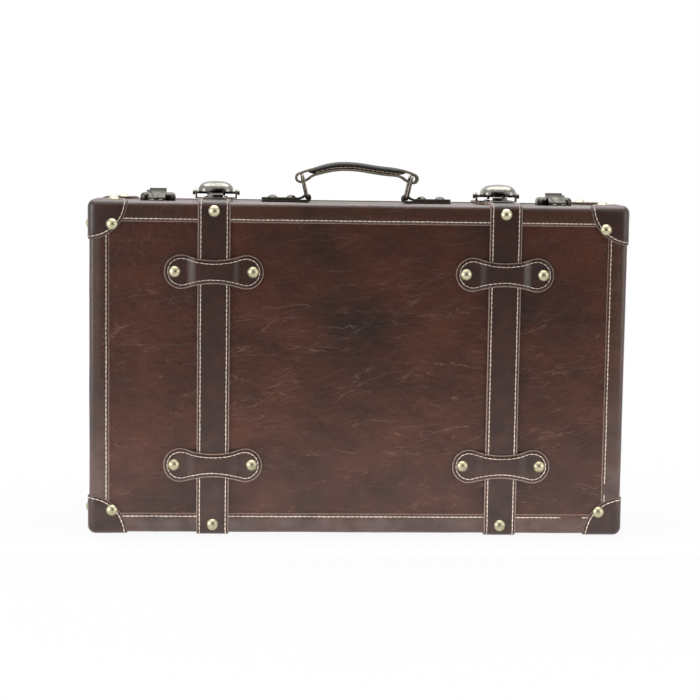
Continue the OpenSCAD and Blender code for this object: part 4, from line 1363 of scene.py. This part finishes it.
class SUITCASE_OT_stage(bpy.types.Operator):
    """Pale floor, soft studio light and the camera at the photograph's viewing angle"""

    bl_idname = "suitcase.stage"
    bl_label = "Stage"

    def execute(self, context):
        scene = context.scene
        scene.view_settings.view_transform = "Standard"
        self.floor()
        self.dark_card()
        self.world(scene)
        for name, place, size, power in (
            ("overhead_softbox", (0.0, 0.2, 1.6), (1.8, 1.4), 26),
            ("left_softbox", (-1.6, -1.0, 0.45), (0.7, 1.1), 10),
            ("right_softbox", (1.6, -1.0, 0.45), (0.7, 1.1), 4.5),
            ("floor_bounce", (0.0, -0.16, 0.012), (0.9, 0.09), 0.8),
        ):
            lamp = bpy.data.lights.new(name, "AREA")
            lamp.shape = "RECTANGLE"
            lamp.size, lamp.size_y = size
            lamp.energy = power
            box = placed(name, lamp)
            box.location = place
            aim = UP * MID_Z - Vector(place)
            box.rotation_euler = aim.to_track_quat("-Z", "Y").to_euler()
            box.visible_camera = False
            box.visible_glossy = name != "floor_bounce"
        self.camera(scene)
        return {"FINISHED"}

    @staticmethod
    def camera(scene):
        """Camera whose place, turn and lens were worked out from the photograph's 700 pixel frame."""
        focal_pixels, frame_pixels, sensor = 1792.9, 700, 36
        place = (-0.09432, -1.730, 0.34680)
        yaw, pitch, roll = -0.0521, -0.1026, -0.0140
        data = bpy.data.cameras.new("camera")
        data.sensor_width = sensor
        data.lens = focal_pixels / frame_pixels * sensor
        scene.camera = placed("camera", data)
        turn = Matrix.Rotation(yaw, 4, "Z") @ Matrix.Rotation(pitch, 4, "X") @ Matrix.Rotation(roll, 4, "Y")
        level = Matrix.Rotation(math.pi / 2, 4, "X")
        scene.camera.matrix_world = Matrix.Translation(place) @ turn @ level

    @staticmethod
    def seen(tree):
        """1 for rays by which the camera, metal or glass sees the background."""
        path = add(tree, "LightPath").outputs
        first = calc(tree, "MAXIMUM", path["Is Camera Ray"], path["Is Glossy Ray"])
        return calc(tree, "MAXIMUM", first, path["Is Transmission Ray"])

    def floor(self):
        """White paper sweep: it fades into the white background away from the case, and keeps the shadow."""
        floor = fresh("floor", bpy.ops.mesh.primitive_plane_add, size=14)
        tree, place = blank("white_paper")
        away = add(tree, "VectorMath", {0: place}, operation="LENGTH").outputs["Value"]
        glow = ranged(tree, away, 0.25, 0.75, 0.93, 1.0, "SMOOTHSTEP")
        paper = add(tree, "BsdfDiffuse", {"Color": (*linear("f4f4f4"), 1)}).outputs[0]
        white = add(tree, "Emission", {"Color": (1, 1, 1, 1), "Strength": 1.0}).outputs[0]
        shown = add(tree, "MixShader", {0: glow, 1: paper, 2: white}).outputs[0]
        show(tree, add(tree, "MixShader", {0: self.seen(tree), 1: paper, 2: shown}).outputs[0])
        give(floor, "white_paper")

    @staticmethod
    def dark_card():
        """Dark card that leans back before the case, which only gloss sees: the face mirrors it, and the
        white floor below it."""
        near, far = Vector((0.155, -0.95, 0.012)), Vector((0.155, -3.0, 2.6))
        slope = far - near
        card = fresh("dark_card", bpy.ops.mesh.primitive_plane_add, (1.25, slope.length, 1), size=1,
                     location=(near + far) / 2, rotation=(math.atan2(slope.z, slope.y), 0, 0))
        tree, _ = blank("dark_card")
        show(tree, add(tree, "BsdfDiffuse", {"Color": (*linear("2a2a2a"), 1)}).outputs[0])
        give(card, "dark_card")
        card.visible_camera = False
        card.visible_diffuse = False
        card.visible_shadow = False
        card.visible_transmission = False

    def world(self, scene):
        """White background where it is seen, and a plain level of fill light elsewhere."""
        scene.world = bpy.data.worlds.new("studio")
        scene.world.use_nodes = True
        tree = scene.world.node_tree
        tree.nodes.clear()
        fill, white = [add(tree, "Background", {"Color": (1, 1, 1, 1), "Strength": strength}).outputs[0]
                       for strength in (0.24, 1.0)]
        mixed = add(tree, "MixShader", {0: self.seen(tree), 1: fill, 2: white}).outputs[0]
        show(tree, mixed, "OutputWorld")


class SUITCASE_PT_panel(bpy.types.Panel):
    """Buttons, sizes and colours of the suitcase"""

    bl_idname = "SUITCASE_PT_panel"
    bl_label = "Suitcase"
    bl_space_type = "VIEW_3D"
    bl_region_type = "UI"
    bl_category = "Suitcase"

    def draw(self, context):
        for operator in OPERATORS:
            self.layout.operator(operator.bl_idname)
        for group in (context.scene.suitcase_sizes, context.scene.suitcase_colours):
            column = self.layout.column()
            for key in group.__annotations__:
                column.prop(group, key, text=key.replace("_", " ").capitalize())


OPERATORS = (
    SUITCASE_OT_stage, SUITCASE_OT_covers, SUITCASE_OT_bands, SUITCASE_OT_patches, SUITCASE_OT_straps,
    SUITCASE_OT_tabs, SUITCASE_OT_nails, SUITCASE_OT_linings, SUITCASE_OT_handle, SUITCASE_OT_chapes,
    SUITCASE_OT_latches, SUITCASE_OT_metalwork, SUITCASE_OT_boards,
)
CLASSES = (SuitcaseSizes, SuitcaseColours, *OPERATORS, SUITCASE_PT_panel)


def register():
    for made in CLASSES:
        bpy.utils.register_class(made)
    bpy.types.Scene.suitcase_sizes = bpy.props.PointerProperty(type=SuitcaseSizes)
    bpy.types.Scene.suitcase_colours = bpy.props.PointerProperty(type=SuitcaseColours)


def unregister():
    del bpy.types.Scene.suitcase_colours
    del bpy.types.Scene.suitcase_sizes
    for made in reversed(CLASSES):
        bpy.utils.unregister_class(made)


def main():
    register()
    bpy.ops.suitcase.stage()
    bpy.ops.suitcase.covers()
    bpy.ops.suitcase.bands()
    bpy.ops.suitcase.patches()
    bpy.ops.suitcase.straps()
    bpy.ops.suitcase.tabs()
    bpy.ops.suitcase.nails()
    bpy.ops.suitcase.linings()
    bpy.ops.suitcase.handle()
    bpy.ops.suitcase.chapes()
    bpy.ops.suitcase.latches()
    bpy.ops.suitcase.metalwork()
    bpy.ops.suitcase.boards()


if __name__ == "__main__":
    main()
